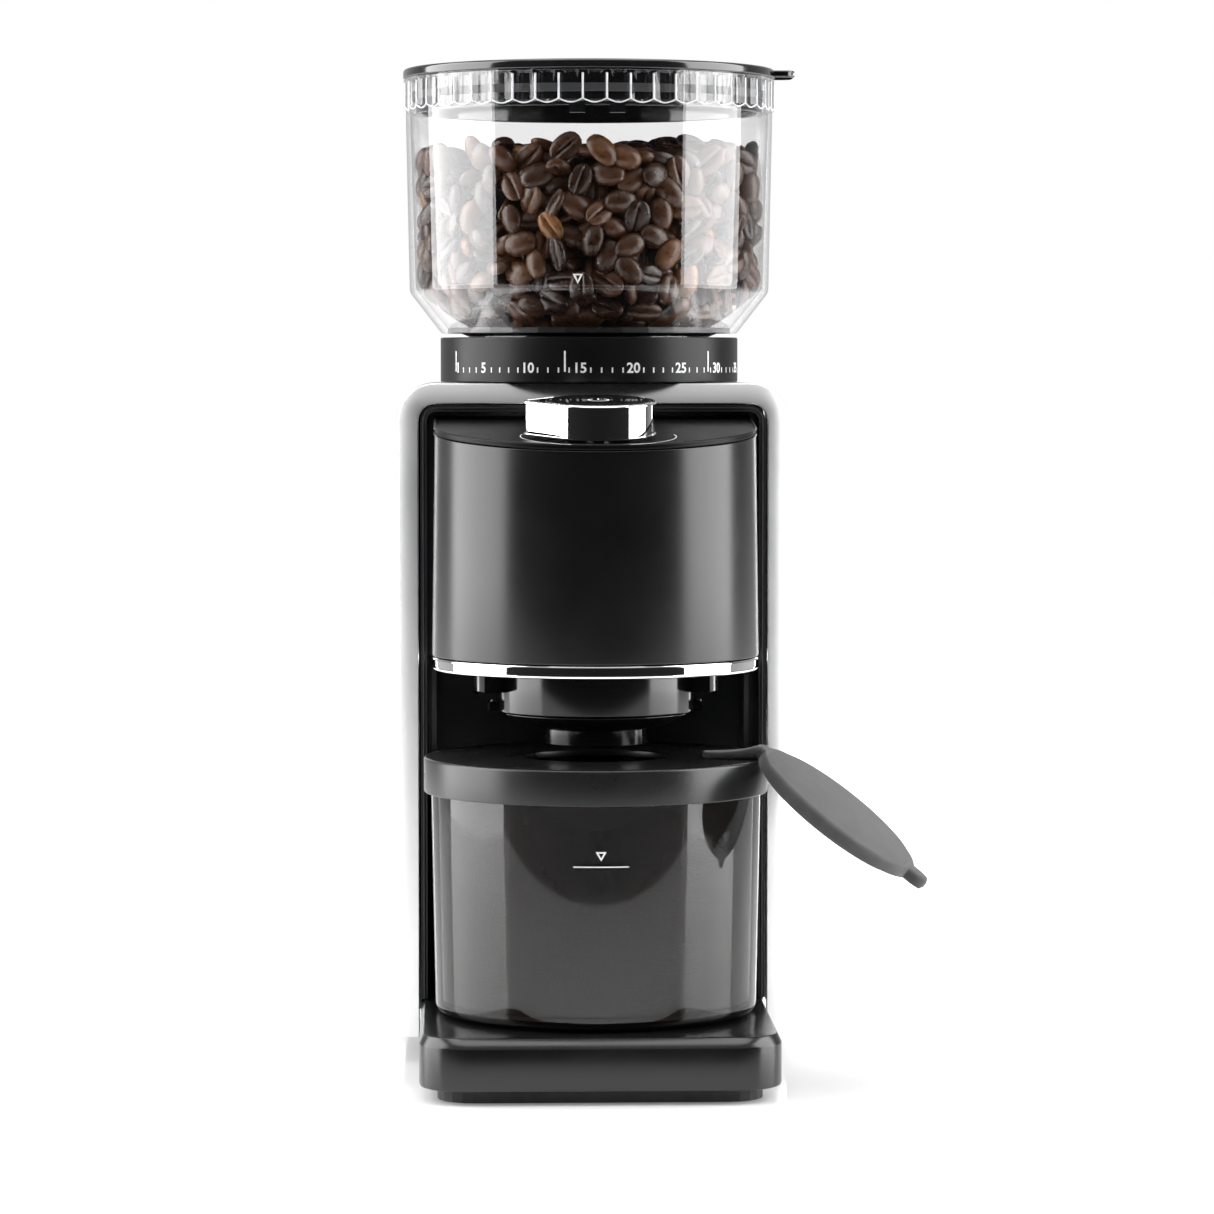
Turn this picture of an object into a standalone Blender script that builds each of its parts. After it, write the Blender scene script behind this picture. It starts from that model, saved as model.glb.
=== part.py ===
"""Burr coffee grinder: steel-wrapped body, clear bean hopper, front head with a timer knob, grounds jar.

X is to the right, Y to the back and Z up. The origin is the middle of the rubber sole's underside.
"""

from math import atan2, cos, pi, radians, sin, sqrt, tan

import bmesh
import bpy
from mathutils import Matrix, Vector

MM = 0.001

# Fits
GAP = 0.3 * MM  # between pieces that seat on each other
RUN = 0.2 * MM  # round a shaft, radially
SLIP = 0.5 * MM  # round a ring or a neck that turns or lifts out

# Body: the steel wrap, an upside-down U open to the front and back
BODY_WIDTH = 135 * MM
HEAD_BOTTOM = 139 * MM
HEAD_HEIGHT = 97 * MM  # from the head's bottom to the body's top
BODY_TOP = HEAD_BOTTOM + HEAD_HEIGHT
BODY_FOOT = 9 * MM
BODY_FRONT = -5 * MM
BODY_BACK = 95 * MM
BODY_CORNER = 13 * MM
SHEET = 1.2 * MM
RIM_WIDTH = 7.2 * MM
RIM_DEPTH = 3 * MM

# Niche liner
LINER_WALL = 2.2 * MM
LINER_RECESS = 1 * MM
NICHE_BACK = 28 * MM
NICHE_CORNER = 5 * MM

# Base
SOLE_THICK = 4.2 * MM
SOLE_INSET = 6 * MM
BASE_TOP = 22 * MM
BASE_SHOULDER = 19 * MM
BASE_CORNER = 16 * MM
BASE_WALL = 2.5 * MM
BASE_CHAMFER = 4 * MM
BASE_SIDE_CHAMFER = 1.5 * MM
BASE_LIP = 7.5 * MM  # tray in front of the jar lid
PLATE_THICK = 2.4 * MM
SCREW_HOLE = 1.9 * MM
COVER_CROWN = 2 * MM
BOARD_THICK = 1.6 * MM

# Grinding axis, hopper and scale collar
HOPPER_Y = 41 * MM
HOPPER_RADIUS = 65.6 * MM
HOPPER_TAPER = 2 * MM
HOPPER_WALL = 2.2 * MM
HOPPER_HEIGHT = 89.5 * MM
HOPPER_CONE = 14.5 * MM
HOPPER_BAND = 11 * MM
FLOOR_EDGE = 1.9 * MM  # height of the funnel floor's outer edge
LID_THICK = 3.4 * MM
LID_SKIRT = 12 * MM
LID_TAB = 7 * MM
LID_TAB_WIDTH = 18 * MM
COLLAR_RADIUS = 52.7 * MM
COLLAR_WALL = 6.7 * MM
COLLAR_HEIGHT = 15.7 * MM
THROAT_RADIUS = 25 * MM

# Burrs, chamber and drive
BURR_RADIUS = 25 * MM  # outside of the ring burr
BURR_HEIGHT = 14 * MM
BURR_GAP = 0.9 * MM
BURR_TEETH = 16
BURR_TOOTH = 0.8 * MM
CARRIER_WALL = 5.3 * MM
CHAMBER_WALL = 3 * MM
CHAMBER_DROP = 40 * MM  # chamber floor below the body's top
SHAFT_RADIUS = 4 * MM
BUSH_WALL = 2.3 * MM
GEAR_MODULE = 1 * MM
GEAR_TEETH = 36
PINION_TEETH = 12
GEAR_THICK = 8 * MM
GEAR_PRESSURE = radians(25)
GEAR_BACKLASH = 0.14  # share of a tooth's width left as play
GEARBOX_DROP = 69 * MM  # gearbox floor below the body's top
MOTOR_RADIUS = 26 * MM
MOTOR_LENGTH = 88 * MM
MOTOR_SHAFT_RADIUS = 2.5 * MM

# Head
HEAD_SIDE_GAP = 2.5 * MM
HEAD_DROP = 11.2 * MM  # back edge of the head's top below the body's top
HEAD_SLOPE = radians(5.5)
HEAD_ARC_OFFSET = 4 * MM
HEAD_WALL = 2.5 * MM
HEAD_DRAFT = 0.65 * MM
TRIM_HEIGHT = 4.4 * MM
CAP_THICK = 2 * MM

# Timer knob and start button
KNOB_RADIUS = 19.3 * MM
KNOB_NOSE = 25 * MM
KNOB_HEIGHT = 12 * MM
KNOB_SETBACK = 23 * MM
BUTTON_RIM = 1.5 * MM
BUTTON_TRAVEL = 1.2 * MM
SPINDLE_RADIUS = 4 * MM

# Spout, cradle and chute
SPOUT_RADIUS = 17.3 * MM
SPOUT_WALL = 2.3 * MM
SPOUT_CLEARANCE = 4.1 * MM
CRADLE_RADIUS = 33.7 * MM
CRADLE_WALL = 2.7 * MM
CRADLE_HEIGHT = 13.7 * MM
CRADLE_REACH = 41.6 * MM
CHUTE_RADIUS = 9.2 * MM
CHUTE_WALL = 1.4 * MM
CHUTE_BEND = 26 * MM
CHUTE_HOLE = CHUTE_RADIUS + 0.6 * MM

# Grounds jar, its lid and the rubber flap
JAR_BACK_CLEARANCE = 1.5 * MM
JAR_OVERHANG = 1 * MM  # lid beyond the niche's half width
JAR_LID_TOP = 109.5 * MM
JAR_LID_HEIGHT = 11.9 * MM
JAR_LID_WALL = 1.8 * MM
JAR_WALL = 2.2 * MM
JAR_TAPER = 1.5 * MM
JAR_HOLE = 25 * MM
FLAP_BEARING = radians(-16)
FLAP_DROOP = radians(38)
FLAP_RADIUS = 31.5 * MM
FLAP_THICK = 3.2 * MM
STRAP_THICK = 2.4 * MM
LIP_DEPTH = 2.2 * MM
LIP_WALL = 1.8 * MM
FLAP_NECK = 10 * MM
FLAP_TAB = 7 * MM
FLAP_LIFT = 0.9 * MM  # hinge line above the lid beyond half the flap's thickness
STRAP_LENGTH = 20 * MM

# Facets round a full turn
LARGE = 32
MEDIUM = 16
SMALL = 8

# Places worked out from the sizes above
half_body = BODY_WIDTH / 2
opening_half = half_body - RIM_WIDTH
base_half = opening_half - GAP
liner_half = opening_half - 2 * GAP
niche_half = liner_half - LINER_WALL
rim_top = BODY_TOP - RIM_WIDTH
base_bottom = SOLE_THICK + GAP
cover_front = BODY_BACK - 2.5 * MM
base_back = cover_front - GAP

jar_lid_radius = niche_half + JAR_OVERHANG
jar_y = NICHE_BACK - JAR_BACK_CLEARANCE - jar_lid_radius
base_front = jar_y - jar_lid_radius - BASE_LIP

carrier_radius = BURR_RADIUS + GAP + CARRIER_WALL
chamber_bore = carrier_radius + 0.4 * MM
chamber_radius = chamber_bore + CHAMBER_WALL
chamber_floor = BODY_TOP - CHAMBER_DROP
chamber_top = BODY_TOP + 8 * MM
burr_top = BODY_TOP
burr_bottom = burr_top - BURR_HEIGHT

panel_back = HOPPER_Y - chamber_radius - 0.6 * MM
panel_front = panel_back - LINER_WALL
shelf_z = HEAD_BOTTOM + 2 * MM

head_back = panel_front - GAP
head_radius = niche_half - HEAD_SIDE_GAP
head_y = jar_y + HEAD_ARC_OFFSET
head_top = BODY_TOP - HEAD_DROP
trim_top = HEAD_BOTTOM + TRIM_HEIGHT
knob_y = head_y - head_radius + KNOB_SETBACK

collar_bottom = BODY_TOP + GAP
collar_top = collar_bottom + COLLAR_HEIGHT
collar_bore = COLLAR_RADIUS - COLLAR_WALL
collar_flange = collar_bottom + LINER_WALL
ring_radius = collar_bore - SLIP
ring_bore = ring_radius - 2.5 * MM
neck_radius = ring_bore - SLIP
hopper_foot = collar_top + 1.5 * MM
hopper_top = hopper_foot + HOPPER_HEIGHT

jar_bottom = BASE_TOP + 0.4 * MM
lid_skirt_bottom = JAR_LID_TOP - JAR_LID_HEIGHT
lid_plate_bottom = JAR_LID_TOP - 2.5 * MM
jar_radius = jar_lid_radius - JAR_LID_WALL - 0.4 * MM
jar_top = lid_plate_bottom - 2.4 * MM
spout_bottom = JAR_LID_TOP + SPOUT_CLEARANCE
cradle_top = HEAD_BOTTOM - GAP
cradle_bottom = cradle_top - CRADLE_HEIGHT

shaft_hole = SHAFT_RADIUS + RUN
bush_radius = shaft_hole + BUSH_WALL
gear_y = HOPPER_Y
gear_pitch = GEAR_MODULE * GEAR_TEETH / 2
pinion_pitch = GEAR_MODULE * PINION_TEETH / 2
motor_y = gear_y + gear_pitch + pinion_pitch
gearbox_floor = BODY_TOP - GEARBOX_DROP
gear_bottom = gearbox_floor + 6 * MM
gearbox_top = gear_bottom + GEAR_THICK + 5 * MM
motor_top = gearbox_floor - 5 * MM
motor_bottom = motor_top - MOTOR_LENGTH


def head_plane(y):
    """Height of the head's sloping top at a depth."""
    return head_top - (head_back - y) * tan(HEAD_SLOPE)


# Materials

finishes = {}


def finish(name, colour, roughness, metallic=0.0, alpha=1.0):
    if name not in finishes:
        made = bpy.data.materials.new(name)
        made.use_nodes = True
        shader = made.node_tree.nodes["Principled BSDF"]
        shader.inputs["Base Color"].default_value = (*colour, 1)
        shader.inputs["Roughness"].default_value = roughness
        shader.inputs["Metallic"].default_value = metallic
        shader.inputs["Alpha"].default_value = alpha
        finishes[name] = made
    return finishes[name]


def polished_steel():
    return finish("polished_steel", (0.78, 0.78, 0.78), 0.15, 1.0)


def chrome():
    return finish("chrome", (0.86, 0.86, 0.87), 0.06, 1.0)


def burr_steel():
    return finish("burr_steel", (0.5, 0.5, 0.52), 0.35, 1.0)


def satin_black():
    return finish("satin_black", (0.02, 0.02, 0.021), 0.35)


def gloss_black():
    return finish("gloss_black", (0.012, 0.012, 0.013), 0.12)


def matt_black():
    return finish("matt_black", (0.025, 0.025, 0.026), 0.6)


def clear_plastic():
    return finish("clear_plastic", (0.93, 0.93, 0.94), 0.05, alpha=0.25)


def smoked_plastic():
    return finish("smoked_plastic", (0.12, 0.11, 0.11), 0.08, alpha=0.6)


def rubber():
    return finish("rubber", (0.06, 0.06, 0.062), 0.8)


def white_nylon():
    return finish("white_nylon", (0.8, 0.79, 0.75), 0.45)


def bronze():
    return finish("bronze", (0.55, 0.36, 0.18), 0.4, 1.0)


def board_green():
    return finish("board_green", (0.03, 0.2, 0.08), 0.5)


# Building blocks


def made(name, shape, look, at=(0, 0, 0), turn=(0, 0, 0), parent=None):
    """Link a bmesh as a closed, outward-facing object."""
    bmesh.ops.recalc_face_normals(shape, faces=shape.faces)
    mesh = bpy.data.meshes.new(name)
    shape.to_mesh(mesh)
    shape.free()
    mesh.materials.append(look)
    mesh.shade_smooth()
    mesh.set_sharp_from_angle(angle=radians(30))
    piece = bpy.data.objects.new(name, mesh)
    bpy.context.collection.objects.link(piece)
    piece.location = at
    piece.rotation_euler = turn
    piece.parent = parent
    return piece


def empty(name, at, turn=(0, 0, 0)):
    joint = bpy.data.objects.new(name, None)
    bpy.context.collection.objects.link(joint)
    joint.location = at
    joint.rotation_euler = turn
    return joint


def turned(name, outline, look, at=(0, 0, 0), steps=LARGE, turn=(0, 0, 0), parent=None):
    """Spin a closed (radius, z) outline, or one that starts and ends on the axis."""
    shape = bmesh.new()
    points = [shape.verts.new((r, 0, z)) for r, z in outline]
    for a, b in zip(points, points[1:]):
        shape.edges.new((a, b))
    if outline[0][0] > 0 or outline[-1][0] > 0:
        shape.edges.new((points[-1], points[0]))
    bmesh.ops.spin(
        shape, geom=shape.verts[:] + shape.edges[:], cent=(0, 0, 0), axis=(0, 0, 1),
        angle=2 * pi, steps=steps, use_merge=True,
    )
    bmesh.ops.remove_doubles(shape, verts=shape.verts, dist=0.001 * MM)
    return made(name, shape, look, at, turn, parent)


def layered(name, loops, look, at=(0, 0, 0), turn=(0, 0, 0), parent=None, ring=False):
    """Bridge loops of as many points each, then cap the ends or join them into a ring."""
    shape = bmesh.new()
    rows = [[shape.verts.new(p) for p in loop] for loop in loops]
    pairs = list(zip(rows, rows[1:]))
    if ring:
        pairs.append((rows[-1], rows[0]))
    for low, high in pairs:
        for i in range(len(low)):
            j = (i + 1) % len(low)
            shape.faces.new((low[i], low[j], high[j], high[i]))
    if not ring:
        shape.faces.new(rows[0][::-1])
        shape.faces.new(rows[-1])
    return made(name, shape, look, at, turn, parent)


def prism(name, outline, low, high, look, at=(0, 0, 0), turn=(0, 0, 0), parent=None):
    """An (x, y) outline between two heights."""
    loops = [[(x, y, z) for x, y in outline] for z in (low, high)]
    return layered(name, loops, look, at, turn, parent)


def box(name, low, high, look, at=(0, 0, 0), turn=(0, 0, 0), parent=None):
    outline = [(low[0], low[1]), (high[0], low[1]), (high[0], high[1]), (low[0], high[1])]
    return prism(name, outline, low[2], high[2], look, at, turn, parent)


def as_tool(piece):
    piece.hide_render = True
    piece.display_type = "WIRE"
    return piece


def cut(piece, *tools):
    for tool in tools:
        step = piece.modifiers.new(tool.name, "BOOLEAN")
        step.operation = "DIFFERENCE"
        step.object = as_tool(tool)


def join(piece, *tools):
    for tool in tools:
        step = piece.modifiers.new(tool.name, "BOOLEAN")
        step.operation = "UNION"
        step.object = as_tool(tool)


def drill(piece, radius, low, high, at=(0, 0, 0), steps=MEDIUM, turn=(0, 0, 0), parent=None):
    """Cut a round hole between two places along the tool's own Z."""
    count = len([o for o in bpy.data.objects if o.name.startswith(piece.name + "_drill")])
    outline = [(0, high), (radius, high), (radius, low), (0, low)]
    tool = turned(f"{piece.name}_drill_{count}", outline, matt_black(), at, steps, turn, parent)
    cut(piece, tool)


BACKWARDS = (-pi / 2, 0, 0)  # turns a piece's own Z to +Y


# Outlines


def arc(cx, cy, radius, start, end, steps):
    """Points from one angle to another, both included."""
    angles = [start + (end - start) * i / steps for i in range(steps + 1)]
    return [(cx + radius * cos(angle), cy + radius * sin(angle)) for angle in angles]


def rounded(x0, y0, x1, y1, front_radius, back_radius, steps=5):
    """A rectangle with one radius on its two low-y corners and another on its two high-y corners."""
    f, b = front_radius, back_radius
    return (
        arc(x0 + f, y0 + f, f, pi, 1.5 * pi, steps)
        + arc(x1 - f, y0 + f, f, 1.5 * pi, 2 * pi, steps)
        + arc(x1 - b, y1 - b, b, 0, pi / 2, steps)
        + arc(x0 + b, y1 - b, b, pi / 2, pi, steps)
    )


def head_outline(radius, back, steps=24):
    """A half round front with straight sides back to the panel."""
    return arc(0, head_y, radius, pi, 2 * pi, steps) + [(radius, back), (-radius, back)]


def gear_outline(teeth, first):
    """Involute teeth with a shortened tip; first is the angle of one tooth's middle."""
    pitch = GEAR_MODULE * teeth / 2
    base = pitch * cos(GEAR_PRESSURE)
    tip = pitch + 0.75 * GEAR_MODULE
    root = pitch - 1.0 * GEAR_MODULE
    half_tooth = (1 - GEAR_BACKLASH) * pi / (2 * teeth)

    def roll(radius):
        return sqrt(max((radius / base) ** 2 - 1, 0))

    def involute(radius):
        return roll(radius) - atan2(roll(radius), 1)

    radii = [max(root, base), tip]
    flank = [(r, half_tooth + involute(pitch) - involute(r)) for r in radii]
    if base > root:
        flank.insert(0, (root, flank[0][1]))
    points = []
    for tooth in range(teeth):
        middle = first + 2 * pi * tooth / teeth
        rising = [(r, middle - angle) for r, angle in flank]
        falling = [(r, middle + angle) for r, angle in reversed(flank)]
        points += [(r * cos(a), r * sin(a)) for r, a in rising + falling]
    return points


# Base


def base():
    black = satin_black()

    def tray_outline(side, front, z, lift=0):
        outline = rounded(
            -base_half + side, base_front + front, base_half - side, base_back - lift,
            BASE_CORNER - front, 3 * MM - lift,
        )
        return [(x, y, z) for x, y in outline]

    tray = layered(
        "base_tray",
        [
            tray_outline(0, 0, base_bottom),
            tray_outline(0, 0, BASE_SHOULDER),
            tray_outline(BASE_SIDE_CHAMFER, BASE_CHAMFER, BASE_TOP),
        ],
        black,
    )
    inner_half = base_half - BASE_WALL
    inner_front = base_front + BASE_WALL
    inner_back = base_back - BASE_WALL
    inner_corner = BASE_CORNER - BASE_WALL
    hollow = prism(
        "tray_hollow",
        rounded(-inner_half, inner_front, inner_half, inner_back, inner_corner, 1 * MM),
        0, BASE_SHOULDER - 1 * MM, black,
    )
    ledge_low, ledge_high = BODY_FOOT + 1 * MM, BODY_FOOT + 3.5 * MM
    ledge_half = half_body - SHEET - GAP
    for side, name in ((-1, "ledge_left"), (1, "ledge_right")):
        x = sorted((side * (base_half - 1 * MM), side * ledge_half))
        ledge_front = BODY_FRONT + RIM_DEPTH + 3 * MM
        join(tray, box(name, (x[0], ledge_front, ledge_low), (x[1], base_back - 2 * MM, ledge_high), black))
    cut(tray, hollow)

    screw_x = inner_half - 12 * MM
    screw_front, screw_back = inner_front + 14 * MM, inner_back - 12 * MM
    places = [(x, y) for y in (screw_front, screw_back) for x in (-screw_x, screw_x)]
    plate = prism(
        "base_plate",
        rounded(
            -inner_half + GAP, inner_front + GAP, inner_half - GAP, inner_back - GAP,
            inner_corner - GAP, 1 * MM,
        ),
        base_bottom, base_bottom + PLATE_THICK, black,
    )
    sole_half = base_half - SOLE_INSET
    sole = prism(
        "rubber_sole",
        rounded(
            -sole_half, base_front + SOLE_INSET + 1 * MM, sole_half, base_back - SOLE_INSET,
            BASE_CORNER - SOLE_INSET + 2 * MM, 6 * MM,
        ),
        0, SOLE_THICK, rubber(),
    )
    boss_bottom = base_bottom + PLATE_THICK + GAP
    for number, (x, y) in enumerate(places, 1):
        boss = turned(
            f"boss_{number}",
            [(0, BASE_SHOULDER), (4.2 * MM, BASE_SHOULDER), (4.2 * MM, boss_bottom), (0, boss_bottom)],
            black, (x, y, 0), SMALL,
        )
        join(tray, boss)
        drill(tray, SCREW_HOLE, 0, 15.5 * MM, (x, y, 0), SMALL)
        drill(plate, 2 * MM, 0, 10 * MM, (x, y, 0), SMALL)
        drill(sole, 4.2 * MM, -1 * MM, 10 * MM, (x, y, 0), SMALL)
        screw(f"base_screw_{number}", (x, y, SOLE_THICK), (0, 0, 0))
    for x in rear_screw_x():
        at = (x, 0, rear_screw_low())
        drill(tray, SCREW_HOLE, inner_back - 5 * MM, base_back + 5 * MM, at, SMALL, BACKWARDS)


def screw(name, seat, turn):
    """A pan-head screw with its shank along its own +Z from the seat."""
    outline = [
        (0, 9 * MM), (1.1 * MM, 9 * MM), (1.5 * MM, 8 * MM), (1.5 * MM, 0),
        (3.1 * MM, 0), (3.1 * MM, -1 * MM), (2.2 * MM, -1.7 * MM), (0, -1.7 * MM),
    ]
    turned(name, outline, burr_steel(), seat, SMALL, turn)


def rear_screw_x():
    return (-(base_half - 14 * MM), base_half - 14 * MM)


def rear_screw_low():
    return BODY_FOOT + 5 * MM


def rear_screw_high():
    return BODY_TOP - 13 * MM


# Body


def wrap():
    """The steel shell: one section swept up one side, over the top and down the other."""
    section = [
        (0, BODY_BACK),
        (0, BODY_FRONT + RIM_DEPTH),
        (RIM_WIDTH, BODY_FRONT),
        (RIM_WIDTH, BODY_FRONT + SHEET),
        (SHEET, BODY_FRONT + RIM_DEPTH + SHEET),
        (SHEET, BODY_BACK),
    ]
    centre_x, centre_z = half_body - BODY_CORNER, BODY_TOP - BODY_CORNER
    corner_steps = 6
    loops = [[(half_body - inset, y, BODY_FOOT) for inset, y in section]]
    for side, start in ((1, 0), (-1, pi / 2)):
        for step in range(corner_steps + 1):
            angle = start + pi / 2 * step / corner_steps
            loops.append(
                [
                    (
                        side * centre_x + (BODY_CORNER - inset) * cos(angle),
                        y,
                        centre_z + (BODY_CORNER - inset) * sin(angle),
                    )
                    for inset, y in section
                ]
            )
    loops.append([(-half_body + inset, y, BODY_FOOT) for inset, y in section])
    shell = layered("steel_shell", loops, polished_steel())
    drill(shell, chamber_radius + 2.5 * MM, BODY_TOP - 6 * MM, BODY_TOP + 6 * MM, (0, HOPPER_Y, 0), LARGE)


def liner():
    """The black inner frame: side walls, niche back, shelf and the upper panel behind the head."""
    front = BODY_FRONT + LINER_RECESS
    low, high = BASE_TOP + GAP, rim_top - GAP
    black = matt_black()
    upper_corner = max(BODY_CORNER - RIM_WIDTH - GAP, 1 * MM)

    def front_view(half, top, radius, bottom):
        outline = [(half, bottom)] + arc(half - radius, top - radius, radius, 0, pi / 2, 4)
        return outline + [(-x, z) for x, z in reversed(outline)]

    def across(name, outline, y0, y1):
        return layered(name, [[(x, y, z) for x, z in outline] for y in (y0, y1)], black)

    back = NICHE_BACK + LINER_WALL
    tub = across("niche_liner", front_view(liner_half, high, upper_corner, low), front, back)
    upper_top, upper_round = high - LINER_WALL, max(upper_corner - LINER_WALL, 1 * MM)
    cut(
        tub,
        box(
            "liner_rear_space",
            (-half_body, panel_back, shelf_z + LINER_WALL), (half_body, back + 5 * MM, BODY_TOP), black,
        ),
        prism(
            "liner_niche",
            rounded(-niche_half, front - 20 * MM, niche_half, NICHE_BACK, 1 * MM, NICHE_CORNER, 4),
            0, shelf_z, black,
        ),
        across(
            "liner_upper",
            front_view(niche_half, upper_top, upper_round, shelf_z - 5 * MM),
            front - 20 * MM, panel_front,
        ),
    )
    drill(
        tub, CHUTE_HOLE, panel_front - 5 * MM, panel_back + 5 * MM, (0, 0, chute_z()), MEDIUM, BACKWARDS,
    )


def rear():
    """The back cover with its vents, the bar it screws to, and the cord's gland."""
    black = satin_black()
    half = half_body - SHEET - GAP
    low, high = base_bottom + GAP, BODY_TOP - SHEET - GAP
    corner = BODY_CORNER - SHEET - GAP

    def plate_outline(inset, y):
        outline = rounded(
            -half + inset, low + inset, half - inset, high - inset, 4 * MM, corner - inset,
        )
        return [(x, y, z) for x, z in outline]

    crown = COVER_CROWN
    cover = layered(
        "rear_cover",
        [
            plate_outline(0, cover_front),
            plate_outline(0, BODY_BACK),
            plate_outline(2.5 * MM, BODY_BACK + crown),
        ],
        black,
    )
    slots = bmesh.new()
    slot_length, slot_height, pitch = 34 * MM, 3 * MM, 8 * MM
    for row in range(7):
        for side in (-1, 1):
            x, z = side * 24 * MM, 78 * MM + row * pitch
            bmesh.ops.create_cube(
                slots, size=1,
                matrix=Matrix.Translation((x, BODY_BACK, z))
                @ Matrix.Diagonal((slot_length, 20 * MM, slot_height, 1)),
            )
    cut(cover, made("cover_slots", slots, black))

    bar_low, bar_high = rear_screw_high() - 6 * MM, rear_screw_high() + 6 * MM
    bar = box(
        "rear_frame_bar",
        (-half + 8 * MM, cover_front - 9 * MM, bar_low), (half - 8 * MM, cover_front - GAP, bar_high),
        matt_black(),
    )
    number = 0
    for z in (rear_screw_low(), rear_screw_high()):
        for x in rear_screw_x():
            number += 1
            drill(cover, 2 * MM, 0, BODY_BACK + 10 * MM, (x, 0, z), SMALL, BACKWARDS)
            seat = BODY_BACK + crown + GAP
            screw(f"rear_screw_{number}", (x, seat, z), (pi / 2, 0, 0))
            if z == rear_screw_high():
                drill(bar, SCREW_HOLE, 0, cover_front + 5 * MM, (x, 0, z), SMALL, BACKWARDS)

    gland_x, gland_z, bore = 38 * MM, 40 * MM, 3.8 * MM
    drill(cover, 6.8 * MM, 0, BODY_BACK + 10 * MM, (gland_x, 0, gland_z), MEDIUM, BACKWARDS)
    inside, outside = cover_front - 4 * MM, BODY_BACK + crown + GAP
    turned(
        "cord_gland",
        [
            (bore, inside), (6.5 * MM, inside), (6.5 * MM, outside), (8.5 * MM, outside),
            (8.5 * MM, outside + 2 * MM), (5.8 * MM, outside + 3 * MM), (5.2 * MM, outside + 9 * MM),
            (bore, outside + 9 * MM),
        ],
        rubber(), (gland_x, 0, gland_z), MEDIUM, BACKWARDS,
    )


# Hopper, lid and grind setting


def collar():
    turned(
        "scale_collar",
        [
            (COLLAR_RADIUS, collar_top), (COLLAR_RADIUS, collar_bottom),
            (chamber_radius + 2.8 * MM, collar_bottom), (chamber_radius + 2.8 * MM, collar_flange),
            (collar_bore, collar_flange), (collar_bore, collar_top),
        ],
        gloss_black(), (0, HOPPER_Y, 0),
    )
    bottom = collar_flange + SLIP
    turned(
        "adjusting_ring",
        [
            (ring_radius, collar_top), (ring_radius, bottom), (chamber_radius + 0.6 * MM, bottom),
            (chamber_radius + 0.6 * MM, bottom + 3 * MM), (ring_bore, bottom + 3 * MM),
            (ring_bore, collar_top),
        ],
        satin_black(), (0, HOPPER_Y, 0),
    )


def hopper():
    wall, inner = HOPPER_WALL, HOPPER_RADIUS - HOPPER_WALL
    shoulder = hopper_foot + HOPPER_CONE
    band = hopper_top - HOPPER_BAND
    throat_low = BODY_TOP + 2 * MM
    throat_high = BODY_TOP + 9.4 * MM
    neck_low = collar_flange + SLIP + 3.5 * MM
    neck_bore = neck_radius - wall
    rise = (hopper_foot + FLOOR_EDGE - throat_high) / (COLLAR_RADIUS - wall - THROAT_RADIUS)
    under_neck = throat_high + (neck_bore - THROAT_RADIUS) * rise - wall
    floor_edge = COLLAR_RADIUS - wall
    floor_top = hopper_foot + FLOOR_EDGE
    outline = [
        (HOPPER_RADIUS, hopper_top),
        (HOPPER_RADIUS, band),
        (HOPPER_RADIUS - HOPPER_TAPER, shoulder),
        (HOPPER_RADIUS - HOPPER_TAPER - 1.5 * MM, shoulder - 4 * MM),
        (COLLAR_RADIUS, hopper_foot),
        (floor_edge, hopper_foot),
        (floor_edge, floor_top),
        (inner - HOPPER_TAPER - 1.3 * MM, shoulder - 3 * MM),
        (inner - HOPPER_TAPER, shoulder + 1 * MM),
        (inner, hopper_top),
    ]
    turned("hopper", outline, clear_plastic(), (0, HOPPER_Y, 0))
    turned(
        "hopper_floor",
        [
            (floor_edge - GAP, floor_top), (floor_edge - GAP, hopper_foot), (neck_radius, hopper_foot),
            (neck_radius, neck_low), (neck_bore, neck_low), (neck_bore, under_neck),
            (THROAT_RADIUS + wall, throat_high - wall + wall * rise), (THROAT_RADIUS + wall, throat_low),
            (THROAT_RADIUS, throat_low), (THROAT_RADIUS, throat_high),
        ],
        satin_black(), (0, HOPPER_Y, 0),
    )

    skirt = inner - wall
    lid_low, lid_high = hopper_top + GAP, hopper_top + GAP + LID_THICK
    ceiling = lid_high - 2.2 * MM
    lid = turned(
        "hopper_lid",
        [
            (0, lid_high), (HOPPER_RADIUS - 0.8 * MM, lid_high),
            (HOPPER_RADIUS + 0.2 * MM, lid_high - 1 * MM),
            (HOPPER_RADIUS + 0.2 * MM, lid_low), (skirt, lid_low), (skirt, hopper_top - LID_SKIRT),
            (skirt - 2 * MM, hopper_top - LID_SKIRT), (skirt - 2 * MM, ceiling), (0, ceiling),
        ],
        gloss_black(), (0, HOPPER_Y, 0),
    )
    reach = HOPPER_RADIUS + LID_TAB
    half_tab = LID_TAB_WIDTH / 2
    tab_outline = (
        [(HOPPER_RADIUS - 5 * MM, -half_tab)]
        + arc(reach - 4 * MM, -half_tab + 4 * MM, 4 * MM, -pi / 2, 0, 3)
        + arc(reach - 4 * MM, half_tab - 4 * MM, 4 * MM, 0, pi / 2, 3)
        + [(HOPPER_RADIUS - 5 * MM, half_tab)]
    )
    tab = prism(
        "lid_tab", tab_outline, lid_low + 0.4 * MM, lid_high - 0.6 * MM, gloss_black(), (0, HOPPER_Y, 0),
    )
    join(lid, tab)
    seal_middle = hopper_top - LID_SKIRT / 2
    turned(
        "lid_seal",
        [
            (inner - 0.4 * MM, seal_middle + 1.4 * MM), (inner - 0.4 * MM, seal_middle - 1.4 * MM),
            (skirt + GAP, seal_middle - 1.4 * MM), (skirt + GAP, seal_middle + 1.4 * MM),
        ],
        rubber(), (0, HOPPER_Y, 0),
    )


# Burrs, chamber and drive


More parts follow.
